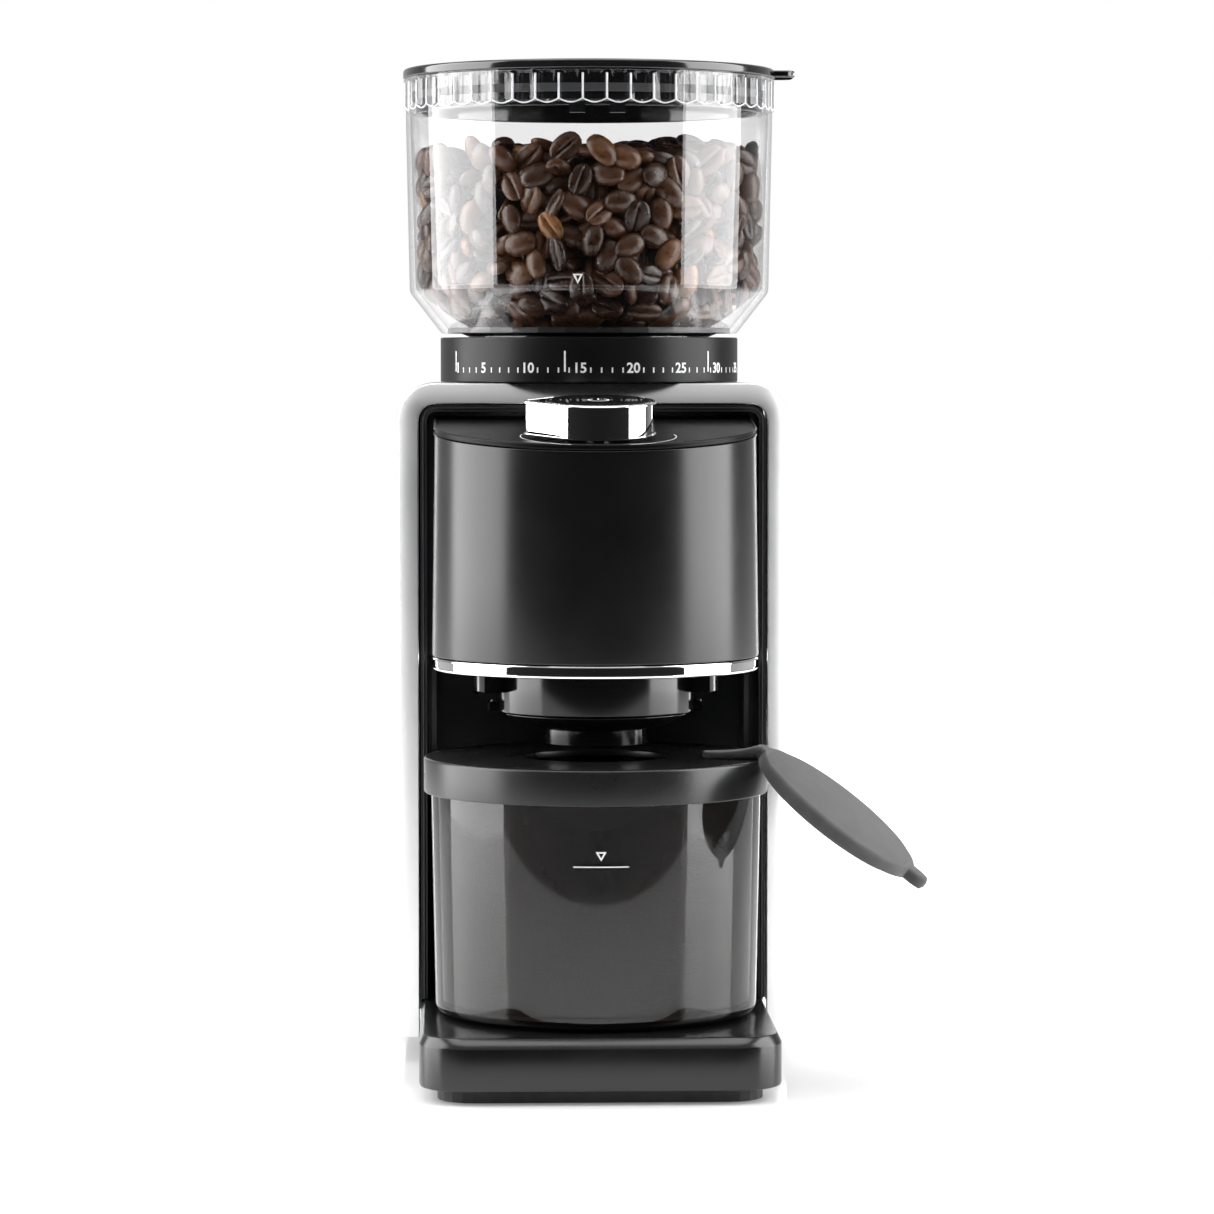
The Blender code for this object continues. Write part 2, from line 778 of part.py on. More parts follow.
def toothed(radius, z, depth, twist, inward):
    """A ring of saw teeth: every second point steps by the tooth's depth."""
    points = []
    for i in range(2 * BURR_TEETH):
        r = radius + (depth if inward else -depth) * (i % 2)
        angle = pi * i / BURR_TEETH + twist
        points.append((r * cos(angle), r * sin(angle), z))
    return points


def circle(radius, z, count, twist=0.0):
    angles = [2 * pi * i / count + twist for i in range(count)]
    return [(radius * cos(angle), radius * sin(angle), z) for angle in angles]


def burrs():
    axis = (0, HOPPER_Y, 0)
    hole = shaft_hole
    points = 2 * BURR_TEETH
    mouth = BURR_RADIUS - 2.2 * MM
    ring_low = BURR_RADIUS - 5.2 * MM
    cone_low = ring_low - BURR_GAP
    cone_top = cone_low - 6.7 * MM
    turned(
        "burr_carrier",
        [
            (carrier_radius, burr_top), (carrier_radius, burr_bottom - 8 * MM),
            (BURR_RADIUS - 2 * MM, burr_bottom - 8 * MM), (BURR_RADIUS - 2 * MM, burr_bottom - GAP),
            (BURR_RADIUS + GAP, burr_bottom - GAP), (BURR_RADIUS + GAP, burr_top),
        ],
        matt_black(), axis,
    )
    layered(
        "ring_burr",
        [
            circle(BURR_RADIUS, burr_bottom, points),
            circle(BURR_RADIUS, burr_top - 0.5 * MM, points),
            toothed(mouth, burr_top - 0.5 * MM, BURR_TOOTH, 0, True),
            toothed(ring_low + 0.4 * MM, burr_bottom + 3 * MM, BURR_TOOTH, 0.25, True),
            toothed(ring_low, burr_bottom, BURR_TOOTH / 4, 0.3, True),
        ],
        burr_steel(), axis, ring=True,
    )
    layered(
        "cone_burr",
        [
            circle(hole, burr_top, points),
            circle(cone_top - 3 * MM, burr_top, points),
            toothed(cone_top, burr_top - 1.5 * MM, BURR_TOOTH, 0.5, False),
            toothed(cone_low - 0.6 * MM, burr_bottom + 3 * MM, BURR_TOOTH, 0.1, False),
            toothed(cone_low, burr_bottom, BURR_TOOTH / 4, 0, False),
            circle(cone_low - 1 * MM, burr_bottom - 4 * MM, points),
            circle(hole, burr_bottom - 4 * MM, points),
        ],
        burr_steel(), axis, ring=True,
    )
    shaft_low = gearbox_floor - 1.5 * MM
    turned(
        "burr_shaft",
        [
            (0, burr_top + 4.6 * MM), (SHAFT_RADIUS - 0.5 * MM, burr_top + 4.6 * MM),
            (SHAFT_RADIUS, burr_top + 4 * MM), (SHAFT_RADIUS, shaft_low), (0, shaft_low),
        ],
        burr_steel(), axis, MEDIUM,
    )
    nut = prism(
        "burr_nut", [(x, y) for x, y, _ in circle(7 * MM, 0, 6)], burr_top + GAP, burr_top + 4 * MM,
        burr_steel(), axis,
    )
    drill(nut, hole, BODY_TOP - 5 * MM, burr_top + 10 * MM, axis, MEDIUM)

    sweeper_low = chamber_floor + 3.8 * MM
    hub_top = burr_bottom - 4.5 * MM
    sweeper = turned(
        "sweeper",
        [(8 * MM, hub_top), (8 * MM, sweeper_low), (hole, sweeper_low), (hole, hub_top)],
        white_nylon(), axis, MEDIUM,
    )
    for number in range(3):
        paddle = box(
            f"paddle_{number}",
            (7 * MM, -1.5 * MM, sweeper_low + 0.1 * MM),
            (chamber_bore - 1.5 * MM, 1.5 * MM, sweeper_low + 7 * MM),
            white_nylon(), axis, (0, 0, pi / 6 + 2 * pi * number / 3),
        )
        join(sweeper, paddle)


def chute_z():
    return chamber_floor + 10 * MM


def chamber():
    flange_low, flange_high = BODY_TOP - 6.5 * MM, BODY_TOP - 3.5 * MM
    hub, hub_bottom = bush_radius + 3 * MM, chamber_floor - 6 * MM
    outline = [
        (chamber_radius, chamber_top), (chamber_radius, flange_high), (chamber_radius + 5 * MM, flange_high),
        (chamber_radius + 5 * MM, flange_low), (chamber_radius, flange_low), (chamber_radius, chamber_floor),
        (hub, chamber_floor), (hub, hub_bottom), (bush_radius + GAP, hub_bottom),
        (bush_radius + GAP, chamber_floor + 3 * MM), (chamber_bore, chamber_floor + 3 * MM),
        (chamber_bore, chamber_top),
    ]
    body = turned("grind_chamber", outline, matt_black(), (0, HOPPER_Y, 0))
    rim_back = BODY_FRONT + RIM_DEPTH + SHEET + GAP
    reach = chamber_radius + 10 * MM
    flat = box(
        "chamber_flange_flat",
        (-reach, rim_back - reach, flange_low - 1 * MM), (reach, rim_back, flange_high + 1 * MM),
        matt_black(),
    )
    cut(body, flat)
    window = CHUTE_RADIUS - CHUTE_WALL - 1 * MM
    at = (0, HOPPER_Y, chute_z())
    drill(body, window, -chamber_radius - 5 * MM, -chamber_bore + 6 * MM, at, SMALL, BACKWARDS)

    for name, low, high in (
        ("upper_bearing", hub_bottom, chamber_floor + 2.8 * MM),
        ("lower_bearing", gearbox_floor - 1 * MM, gearbox_floor + 4 * MM),
    ):
        turned(
            name,
            [(bush_radius, high), (bush_radius, low), (shaft_hole, low), (shaft_hole, high)],
            bronze(), (0, HOPPER_Y, 0), MEDIUM,
        )


def stadium(front_radius, back_radius, steps=12):
    """The outline round the gear and the pinion."""
    lean = (front_radius - back_radius) / (motor_y - gear_y)
    tangent = pi / 2 - atan2(sqrt(1 - lean * lean), lean)
    back = arc(0, motor_y, back_radius, tangent, pi - tangent, steps)
    front = arc(0, gear_y, front_radius, pi - tangent, 2 * pi + tangent, 2 * steps)
    return back + front


def gearbox():
    clearance, wall = 1.2 * MM, 2.5 * MM
    big, small = gear_pitch + GEAR_MODULE + clearance, pinion_pitch + GEAR_MODULE + clearance
    floor_top = gearbox_floor + 4 * MM
    case = prism("gearbox_case", stadium(big + wall, small + wall), gearbox_floor, gearbox_top, white_nylon())
    cavity = prism("case_cavity", stadium(big, small), floor_top, gearbox_top + 5 * MM, white_nylon())
    cut(case, cavity)
    drill(case, bush_radius + GAP, gearbox_floor - 5 * MM, floor_top + 5 * MM, (0, gear_y, 0))
    drill(case, MOTOR_SHAFT_RADIUS + 2 * MM, gearbox_floor - 5 * MM, floor_top + 5 * MM, (0, motor_y, 0))
    cover = prism(
        "gearbox_cover", stadium(big + wall, small + wall), gearbox_top + GAP, gearbox_top + 2.5 * MM,
        white_nylon(),
    )
    drill(cover, SHAFT_RADIUS + 0.6 * MM, gearbox_top - 5 * MM, gearbox_top + 8 * MM, (0, gear_y, 0))

    gear = prism(
        "drive_gear", gear_outline(GEAR_TEETH, pi / 2 + pi / GEAR_TEETH),
        gear_bottom, gear_bottom + GEAR_THICK, white_nylon(), (0, gear_y, 0),
    )
    drill(gear, shaft_hole, gear_bottom - 5 * MM, gear_bottom + 20 * MM, (0, gear_y, 0))
    pinion = prism(
        "motor_pinion", gear_outline(PINION_TEETH, -pi / 2), gear_bottom - 0.5 * MM,
        gear_bottom + GEAR_THICK + 0.5 * MM, burr_steel(), (0, motor_y, 0),
    )
    pinion_bore = MOTOR_SHAFT_RADIUS + RUN
    drill(pinion, pinion_bore, gear_bottom - 5 * MM, gear_bottom + 20 * MM, (0, motor_y, 0), SMALL)


def motor():
    axis = (0, motor_y, 0)
    wall = 2 * MM
    can_top = motor_top - 3.3 * MM
    shaft, free = MOTOR_SHAFT_RADIUS, MOTOR_SHAFT_RADIUS + RUN
    turned(
        "motor_can",
        [
            (MOTOR_RADIUS, can_top), (MOTOR_RADIUS, motor_bottom), (free, motor_bottom),
            (free, motor_bottom + wall), (MOTOR_RADIUS - wall, motor_bottom + wall),
            (MOTOR_RADIUS - wall, can_top),
        ],
        burr_steel(), axis, MEDIUM,
    )
    turned(
        "motor_end_cap",
        [(MOTOR_RADIUS, motor_top), (MOTOR_RADIUS, can_top + GAP), (free, can_top + GAP), (free, motor_top)],
        matt_black(), axis, MEDIUM,
    )
    turned(
        "armature",
        [
            (14 * MM, can_top - 16 * MM), (14 * MM, motor_bottom + 14 * MM),
            (shaft + RUN, motor_bottom + 14 * MM),
            (shaft + RUN, can_top - 6 * MM), (8 * MM, can_top - 6 * MM), (8 * MM, can_top - 16 * MM),
        ],
        bronze(), axis, MEDIUM,
    )
    shaft_top = gear_bottom + GEAR_THICK + 2 * MM
    turned(
        "motor_shaft",
        [(0, shaft_top), (shaft, shaft_top), (shaft, motor_bottom - 1.5 * MM), (0, motor_bottom - 1.5 * MM)],
        burr_steel(), axis, SMALL,
    )
    turned(
        "motor_spacer",
        [
            (MOTOR_RADIUS - 10 * MM, gearbox_floor - GAP), (MOTOR_RADIUS - 10 * MM, motor_top + GAP),
            (MOTOR_RADIUS - 14 * MM, motor_top + GAP), (MOTOR_RADIUS - 14 * MM, gearbox_floor - GAP),
        ],
        rubber(), axis, MEDIUM,
    )
    stand_low, stand_high = BASE_TOP + GAP, motor_bottom - GAP
    turned(
        "motor_stand",
        [
            (MOTOR_RADIUS - 4 * MM, stand_high), (MOTOR_RADIUS - 4 * MM, stand_low),
            (MOTOR_RADIUS - 8 * MM, stand_low), (MOTOR_RADIUS - 8 * MM, stand_high),
        ],
        matt_black(), axis, MEDIUM,
    )


def electrics():
    board_x = half_body - SHEET - 4 * MM
    depth = (NICHE_BACK + LINER_WALL + 8 * MM, cover_front - 8 * MM)
    box(
        "power_board",
        (-board_x, depth[0], BASE_TOP + 20 * MM), (-board_x + BOARD_THICK, depth[1], BASE_TOP + 90 * MM),
        board_green(),
    )
    switch_x, switch_y = chamber_radius + 7.5 * MM, HOPPER_Y + 20 * MM
    top = BODY_TOP - SHEET - GAP
    box(
        "hopper_switch", (switch_x, switch_y, top - 16 * MM), (switch_x + 8 * MM, switch_y + 16 * MM, top),
        matt_black(),
    )


# Head


def head():
    black = satin_black()

    def flat(radius, back, z):
        return [(x, y, z) for x, y in head_outline(radius, back)]

    def sloped(radius, back, drop):
        return [(x, y, head_plane(y) - drop) for x, y in head_outline(radius, back)]

    inner = head_radius - HEAD_WALL
    shell_low = trim_top + GAP
    shell_drop = CAP_THICK + GAP
    shell = layered(
        "head_shell",
        [
            flat(head_radius + HEAD_DRAFT, head_back, shell_low),
            sloped(head_radius, head_back, shell_drop),
            sloped(inner, head_back - HEAD_WALL, shell_drop),
            flat(inner, head_back - HEAD_WALL, shell_low),
        ],
        black, ring=True,
    )
    at = (0, 0, chute_z())
    drill(shell, CHUTE_HOLE, head_back - 10 * MM, head_back + 5 * MM, at, MEDIUM, BACKWARDS)
    cap = layered(
        "head_cap",
        [sloped(head_radius, head_back, CAP_THICK), sloped(head_radius, head_back, 0)],
        black,
    )
    trim = layered(
        "head_trim_ring",
        [
            flat(head_radius + HEAD_DRAFT, head_back, HEAD_BOTTOM),
            flat(head_radius + HEAD_DRAFT, head_back, trim_top),
            flat(inner, head_back - HEAD_WALL, trim_top),
            flat(inner, head_back - HEAD_WALL, HEAD_BOTTOM),
        ],
        chrome(), ring=True,
    )
    floor_low = HEAD_BOTTOM + 0.2 * MM
    floor = layered(
        "head_floor",
        [flat(inner - GAP, head_back - HEAD_WALL - GAP, z) for z in (floor_low, floor_low + 2.4 * MM)],
        matt_black(),
    )
    drill(floor, CHUTE_HOLE, HEAD_BOTTOM - 5 * MM, trim_top + 5 * MM, (0, jar_y, 0))

    knob_axis = empty("knob_axis", (0, knob_y, head_plane(knob_y)), (HEAD_SLOPE, 0, 0))
    drill(cap, SPINDLE_RADIUS + RUN, -10 * MM, 10 * MM, (0, 0, 0), MEDIUM, (0, 0, 0), knob_axis)
    knob(knob_axis)


def knob(axis):
    half_nose = 4 * MM
    lean = atan2(KNOB_RADIUS - half_nose, KNOB_NOSE)
    body = arc(0, 0, KNOB_RADIUS, -pi / 2 - lean, pi / 2 + lean, 28)
    nose = arc(-KNOB_NOSE + half_nose, 0, half_nose, pi / 2 + lean / 2, 3 * pi / 2 - lean / 2, 4)
    foot = 0.5 * MM
    timer_knob = prism("timer_knob", body + nose, foot, KNOB_HEIGHT, chrome(), parent=axis)
    seat = KNOB_HEIGHT - 3.5 * MM
    deep = -CAP_THICK - 8 * MM
    spindle = turned(
        "knob_spindle",
        [(0, foot + 2 * MM), (SPINDLE_RADIUS, foot + 2 * MM), (SPINDLE_RADIUS, deep), (0, deep)],
        chrome(), steps=MEDIUM, parent=axis,
    )
    join(timer_knob, spindle)
    stem = 1.6 * MM
    well = KNOB_RADIUS - BUTTON_RIM + GAP
    drill(timer_knob, well, seat, KNOB_HEIGHT + 5 * MM, (0, 0, 0), LARGE, (0, 0, 0), axis)
    drill(timer_knob, stem + GAP, deep - 5 * MM, seat + 1 * MM, (0, 0, 0), SMALL, (0, 0, 0), axis)

    disc_low, disc_high = seat + BUTTON_TRAVEL + 0.2 * MM, KNOB_HEIGHT + 0.2 * MM
    disc_radius = KNOB_RADIUS - BUTTON_RIM
    turned(
        "start_button",
        [
            (0, disc_high), (disc_radius - 0.5 * MM, disc_high), (disc_radius, disc_high - 0.5 * MM),
            (disc_radius, disc_low), (stem, disc_low), (stem, deep + 0.5 * MM), (0, deep + 0.5 * MM),
        ],
        gloss_black(), steps=LARGE, parent=axis,
    )
    half, depth = 11 * MM, 8 * MM
    switch_top = -CAP_THICK - 1.2 * MM
    switch = box(
        "timer_switch",
        (-half, -half, switch_top - depth), (half, half, switch_top), matt_black(), parent=axis,
    )
    drill(switch, SPINDLE_RADIUS + 0.6 * MM, -20 * MM, 0, (0, 0, 0), MEDIUM, (0, 0, 0), axis)
    board_top = switch_top - depth - GAP - BUTTON_TRAVEL
    board_half = (head_radius - HEAD_WALL) * 0.5
    box(
        "control_board", (-board_half, -half, board_top - BOARD_THICK), (board_half, half, board_top),
        board_green(), parent=axis,
    )


def spout():
    bore = SPOUT_RADIUS - SPOUT_WALL
    rim = cradle_bottom - GAP
    lip = spout_bottom + 6 * MM
    turned(
        "spout",
        [
            (SPOUT_RADIUS, spout_bottom), (SPOUT_RADIUS, lip), (CRADLE_RADIUS * 0.71, lip + 0.6 * MM),
            (CRADLE_RADIUS - 0.7 * MM, rim), (CRADLE_RADIUS - CRADLE_WALL - 0.5 * MM, rim),
            (CRADLE_RADIUS * 0.66, lip + 2.4 * MM), (SPOUT_RADIUS, lip + 2 * MM), (SPOUT_RADIUS, cradle_top),
            (bore, cradle_top), (bore, spout_bottom),
        ],
        satin_black(), (0, jar_y, 0),
    )
    inner = CRADLE_RADIUS - CRADLE_WALL
    cradle = turned(
        "portafilter_cradle",
        [
            (CRADLE_RADIUS, cradle_top), (CRADLE_RADIUS, cradle_bottom),
            (inner, cradle_bottom), (inner, cradle_top),
        ],
        satin_black(), (0, jar_y, 0),
    )
    spread = radians(24)
    arm_low, pin_low, hook_high = cradle_bottom + 7 * MM, cradle_bottom + 5.5 * MM, cradle_bottom + 3.5 * MM
    for middle, side in ((0, "right"), (pi, "left")):
        arm = sector(CRADLE_RADIUS - 1 * MM, CRADLE_REACH, middle, spread)
        pin = sector(CRADLE_REACH - 1.8 * MM, CRADLE_REACH - 0.2 * MM, middle, spread / 6)
        hook = sector(CRADLE_RADIUS - 1 * MM, CRADLE_RADIUS + 3.2 * MM, middle, spread / 2)
        at = (0, jar_y, 0)
        join(
            cradle,
            prism(f"arm_{side}", arm, arm_low, cradle_top - 0.1 * MM, satin_black(), at),
            prism(f"pin_{side}", pin, pin_low, arm_low + 2 * MM, satin_black(), at),
            prism(f"hook_{side}", hook, cradle_bottom + 0.1 * MM, hook_high, satin_black(), at),
        )


def sector(inner, outer, middle, half_angle):
    steps = 6
    return arc(0, 0, outer, middle - half_angle, middle + half_angle, steps) + arc(
        0, 0, inner, middle + half_angle, middle - half_angle, steps
    )


def chute():
    """A bent tube from the chamber's window forward and down into the spout."""
    start_y, z = panel_back - GAP / 2, chute_z()
    bend = min(CHUTE_BEND, start_y - jar_y - 2 * MM)
    bottom = cradle_bottom + 1 * MM
    path = [(Vector((0, start_y, z)), Vector((0, -1, 0)))]
    centre = Vector((0, jar_y + bend, z - bend))
    bend_steps = 6
    for step in range(bend_steps + 1):
        angle = pi / 2 * (1 + step / bend_steps)
        outward = Vector((0, cos(angle), sin(angle)))
        path.append((centre + bend * outward, Vector((0, -sin(angle), cos(angle)))))
    path.append((Vector((0, jar_y, bottom)), Vector((0, 0, -1))))

    def loops(radius):
        rows = []
        for place, along in path:
            side = Vector((1, 0, 0))
            up = side.cross(along)
            rows.append(
                [
                    place + radius * (cos(2 * pi * i / 16) * side + sin(2 * pi * i / 16) * up)
                    for i in range(16)
                ]
            )
        return rows

    layered("chute", loops(CHUTE_RADIUS) + loops(CHUTE_RADIUS - CHUTE_WALL)[::-1], satin_black(), ring=True)


# Grounds jar


def jar():
    axis = (0, jar_y, 0)
    foot = jar_radius - JAR_TAPER
    inner, inner_foot = jar_radius - JAR_WALL, foot - JAR_WALL
    turned(
        "grounds_jar",
        [
            (0, jar_bottom), (foot - 3.5 * MM, jar_bottom), (foot - 1 * MM, jar_bottom + 1 * MM),
            (foot, jar_bottom + 3.5 * MM), (jar_radius, jar_top), (inner, jar_top),
            (inner_foot, jar_bottom + 4.5 * MM), (inner_foot - 2 * MM, jar_bottom + 2.5 * MM),
            (0, jar_bottom + 2.5 * MM),
        ],
        smoked_plastic(), axis,
    )
    turned(
        "jar_lid",
        [
            (JAR_HOLE, JAR_LID_TOP), (jar_lid_radius - 1 * MM, JAR_LID_TOP),
            (jar_lid_radius, JAR_LID_TOP - 1 * MM),
            (jar_lid_radius, lid_skirt_bottom), (jar_lid_radius - JAR_LID_WALL, lid_skirt_bottom),
            (jar_lid_radius - JAR_LID_WALL, lid_plate_bottom), (JAR_HOLE, lid_plate_bottom),
        ],
        satin_black(), axis,
    )
    turned(
        "jar_seal",
        [
            (jar_radius - GAP, lid_plate_bottom - GAP), (jar_radius - GAP, jar_top + GAP),
            (inner + GAP, jar_top + GAP), (inner + GAP, lid_plate_bottom - GAP),
        ],
        rubber(), axis,
    )


def flap():
    """The rubber flap, open: a strap on the lid, then a round cover with a tab and a plug lip."""
    strap_low = JAR_LID_TOP + GAP
    hinge_radius = jar_lid_radius - 1 * MM
    thick = FLAP_THICK
    half_neck = FLAP_NECK / 2
    turn = (0, 0, FLAP_BEARING)
    end = hinge_radius - GAP
    start = end - STRAP_LENGTH
    strap = [(end, -half_neck), (end, half_neck)] + arc(start + half_neck, 0, half_neck, pi / 2, 1.5 * pi, 8)
    prism("flap_strap", strap, strap_low, strap_low + STRAP_THICK, rubber(), (0, jar_y, 0), turn)

    hinge_at = (
        hinge_radius * cos(FLAP_BEARING),
        jar_y + hinge_radius * sin(FLAP_BEARING),
        strap_low + thick / 2 + FLAP_LIFT,
    )
    hinge = empty("flap_hinge", hinge_at, (0, FLAP_DROOP, FLAP_BEARING))
    centre = FLAP_RADIUS + 1.5 * MM
    neck_angle = pi - 0.25
    tab_half = 5 * MM
    tab_angle = tab_half / FLAP_RADIUS
    tab_end = centre + FLAP_RADIUS + FLAP_TAB
    outline = (
        [(thick * 0.7, -half_neck)]
        + arc(centre, 0, FLAP_RADIUS, -neck_angle, -tab_angle, 14)
        + arc(tab_end - 3 * MM, -tab_half + 3 * MM, 3 * MM, -pi / 2, 0, 3)
        + arc(tab_end - 3 * MM, tab_half - 3 * MM, 3 * MM, 0, pi / 2, 3)
        + arc(centre, 0, FLAP_RADIUS, tab_angle, neck_angle, 14)
        + [(thick * 0.7, half_neck)]
    )
    cover = prism("fill_flap", outline, -thick / 2, thick / 2, rubber(), parent=hinge)
    lip_radius, lip_low = JAR_HOLE - 0.4 * MM, -thick / 2 - LIP_DEPTH
    lip = turned(
        "flap_lip",
        [
            (lip_radius, 0), (lip_radius, lip_low),
            (lip_radius - LIP_WALL, lip_low), (lip_radius - LIP_WALL, 0),
        ],
        rubber(), (centre, 0, 0), LARGE, parent=hinge,
    )
    join(cover, lip)


def grinder():
    base()
    wrap()
    liner()
    rear()
    collar()
    hopper()
    burrs()
    chamber()
    gearbox()
    motor()
    electrics()
    head()
    spout()
    chute()
    jar()
    flap()


for old in list(bpy.data.objects):
    bpy.data.objects.remove(old)
grinder()
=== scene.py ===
from math import asin, atan2, cos, pi, radians, sin, sqrt, tan

import bmesh
import bpy
import numpy as np
from mathutils import Matrix, Vector


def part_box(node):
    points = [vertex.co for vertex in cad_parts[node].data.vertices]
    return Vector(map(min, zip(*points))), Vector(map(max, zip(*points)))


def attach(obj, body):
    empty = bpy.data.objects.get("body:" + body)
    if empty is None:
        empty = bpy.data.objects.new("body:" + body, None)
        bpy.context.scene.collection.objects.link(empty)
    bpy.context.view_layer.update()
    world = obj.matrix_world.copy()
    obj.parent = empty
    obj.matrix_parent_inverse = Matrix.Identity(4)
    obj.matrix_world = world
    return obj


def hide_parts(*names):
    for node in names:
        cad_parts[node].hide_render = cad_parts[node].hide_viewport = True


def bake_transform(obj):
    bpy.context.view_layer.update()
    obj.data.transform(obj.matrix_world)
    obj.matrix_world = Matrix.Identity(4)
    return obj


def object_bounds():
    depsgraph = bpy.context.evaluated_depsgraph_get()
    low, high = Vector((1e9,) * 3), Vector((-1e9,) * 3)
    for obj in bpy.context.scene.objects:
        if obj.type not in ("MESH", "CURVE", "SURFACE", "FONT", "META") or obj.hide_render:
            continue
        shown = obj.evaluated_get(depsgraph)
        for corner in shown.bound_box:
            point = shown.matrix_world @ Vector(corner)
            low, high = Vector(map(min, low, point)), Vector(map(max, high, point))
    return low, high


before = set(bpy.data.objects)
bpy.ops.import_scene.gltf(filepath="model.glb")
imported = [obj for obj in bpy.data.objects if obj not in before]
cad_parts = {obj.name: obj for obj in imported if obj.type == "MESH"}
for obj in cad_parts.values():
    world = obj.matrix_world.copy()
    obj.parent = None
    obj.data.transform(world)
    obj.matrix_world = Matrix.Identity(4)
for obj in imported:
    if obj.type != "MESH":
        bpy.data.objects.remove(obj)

mm = 0.001
cadBox = [list(corner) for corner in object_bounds()]
scene = bpy.context.scene
scene.view_settings.view_transform = "Standard"

# camera

cameraPlace = {
    "distance": 1.55,  # from the steel rim's plane
    "height": 0.244,
    "left": 0.0488,  # stands a little to the left
    "down": radians(3.15),
    "right": radians(1.98),  # aims back to the right
    "lens": 133,
}
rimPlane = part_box("steel_shell")[0][1]
cameraData = bpy.data.cameras.new("camera")
cameraData.lens = cameraPlace["lens"]
cameraData.clip_start = 0.05
camera = bpy.data.objects.new("camera", cameraData)
scene.collection.objects.link(camera)
camera.location = (-cameraPlace["left"], rimPlane - cameraPlace["distance"], cameraPlace["height"])
camera.rotation_euler = (pi / 2 - cameraPlace["down"], 0, -cameraPlace["right"])
scene.camera = camera
print("camera set")

# mesh tools


def link(name, mesh, look, at=(0, 0, 0), turn=None):
    piece = bpy.data.objects.new(name, mesh)
    scene.collection.objects.link(piece)
    mesh.materials.append(look)
    mesh.shade_smooth()
    mesh.set_sharp_from_angle(angle=radians(38))
    piece.location = at
    if turn is not None:
        piece.rotation_euler = turn
    return piece


def closedMesh(name, points, faces, look, at=(0, 0, 0), turn=None):
    shape = bmesh.new()
    verts = [shape.verts.new(p) for p in points]
    for face in faces:
        corners = [verts[i] for i in face]
        if len(set(corners)) > 2:
            shape.faces.new(corners)
    bmesh.ops.remove_doubles(shape, verts=shape.verts, dist=0.0005 * mm)
    bmesh.ops.recalc_face_normals(shape, faces=shape.faces)
    mesh = bpy.data.meshes.new(name)
    shape.to_mesh(mesh)
    shape.free()
    return link(name, mesh, look, at, turn)


def softCorners(outline, steps=5, closed=True):  # rounds each (a, b, radius) corner; radius may be left out
    rounded = []
    count = len(outline)
    for i, corner in enumerate(outline):
        here = Vector(corner[:2])
        radius = corner[2] if len(corner) > 2 else 0
        ends = not closed and i in (0, count - 1)
        if radius == 0 or ends:
            rounded.append(tuple(here))
            continue
        before = Vector(outline[i - 1][:2]) - here
        after = Vector(outline[(i + 1) % count][:2]) - here
        half = before.angle(after) / 2
        run = min(radius / tan(half), before.length * 0.49, after.length * 0.49)
        radius = run * tan(half)
        start, end = here + before.normalized() * run, here + after.normalized() * run
        middle = here + (before.normalized() + after.normalized()).normalized() * (radius / sin(half))
        a, b = start - middle, end - middle
        sweep = a.angle_signed(b)
        for step in range(steps + 1):
            turn = -sweep * step / steps
            rounded.append((
                middle.x + a.x * cos(turn) - a.y * sin(turn),
                middle.y + a.x * sin(turn) + a.y * cos(turn),
            ))
    return rounded


def lathe(name, outline, look, at=(0, 0, 0), steps=144, closed=True, warp=None, turn=None):
    count = len(outline)
    points, faces = [], []
    for step in range(steps):
        angle = 2 * pi * step / steps
        for r, z in outline:
            radius = warp(r, z, angle) if warp else r
            points.append((radius * cos(angle), radius * sin(angle), z))
    for step in range(steps):
        nextStep = (step + 1) % steps
        for i in range(count if closed else count - 1):
            j = (i + 1) % count
            faces.append((step * count + i, nextStep * count + i, nextStep * count + j, step * count + j))
    return closedMesh(name, points, faces, look, at, turn)


def loft(name, loops, look, ring=False, at=(0, 0, 0), turn=None):
    count = len(loops[0])
    points = [p for loop in loops for p in loop]
    rows = len(loops)
    faces = []
    for row in range(rows if ring else rows - 1):
        low, high = row * count, ((row + 1) % rows) * count
        for i in range(count):
            j = (i + 1) % count
            faces.append((low + i, low + j, high + j, high + i))
    if not ring:
        faces.append(tuple(range(count))[::-1])
        faces.append(tuple((rows - 1) * count + i for i in range(count)))
    return closedMesh(name, points, faces, look, at, turn)


def arc(cx, cy, radius, start, end, steps):
    angles = [start + (end - start) * i / steps for i in range(steps + 1)]
    return [(cx + radius * cos(a), cy + radius * sin(a)) for a in angles]


def rounded(x0, y0, x1, y1, lowRadius, highRadius, steps=12):
    low, high = max(lowRadius, 0.01 * mm), max(highRadius, 0.01 * mm)
    return (
        arc(x0 + low, y0 + low, low, pi, 1.5 * pi, steps)
        + arc(x1 - low, y0 + low, low, 1.5 * pi, 2 * pi, steps)
        + arc(x1 - high, y1 - high, high, 0, pi / 2, steps)
        + arc(x0 + high, y1 - high, high, pi / 2, pi, steps)
    )


def edgeProfile(radius, steps=4):  # (inset, drop) pairs of a quarter round
    angles = [pi / 2 * i / steps for i in range(steps + 1)]
    return [(radius * (1 - cos(a)), radius * (1 - sin(a))) for a in angles]


def softEdges(piece, width):
    bevel = piece.modifiers.new("softEdges", "BEVEL")
    bevel.width = width
    bevel.segments = 3
    bevel.limit_method = "ANGLE"
    bevel.angle_limit = radians(30)
    bevel.harden_normals = True


def bored(piece, tool):  # takes the tool's shape out of the piece
    cut = piece.modifiers.new("bored", "BOOLEAN")
    cut.operation = "DIFFERENCE"
    cut.object = tool
    result = piece.evaluated_get(bpy.context.evaluated_depsgraph_get())
    mesh = bpy.data.meshes.new_from_object(result)
    piece.modifiers.clear()
    piece.data = mesh
    bpy.data.objects.remove(tool)


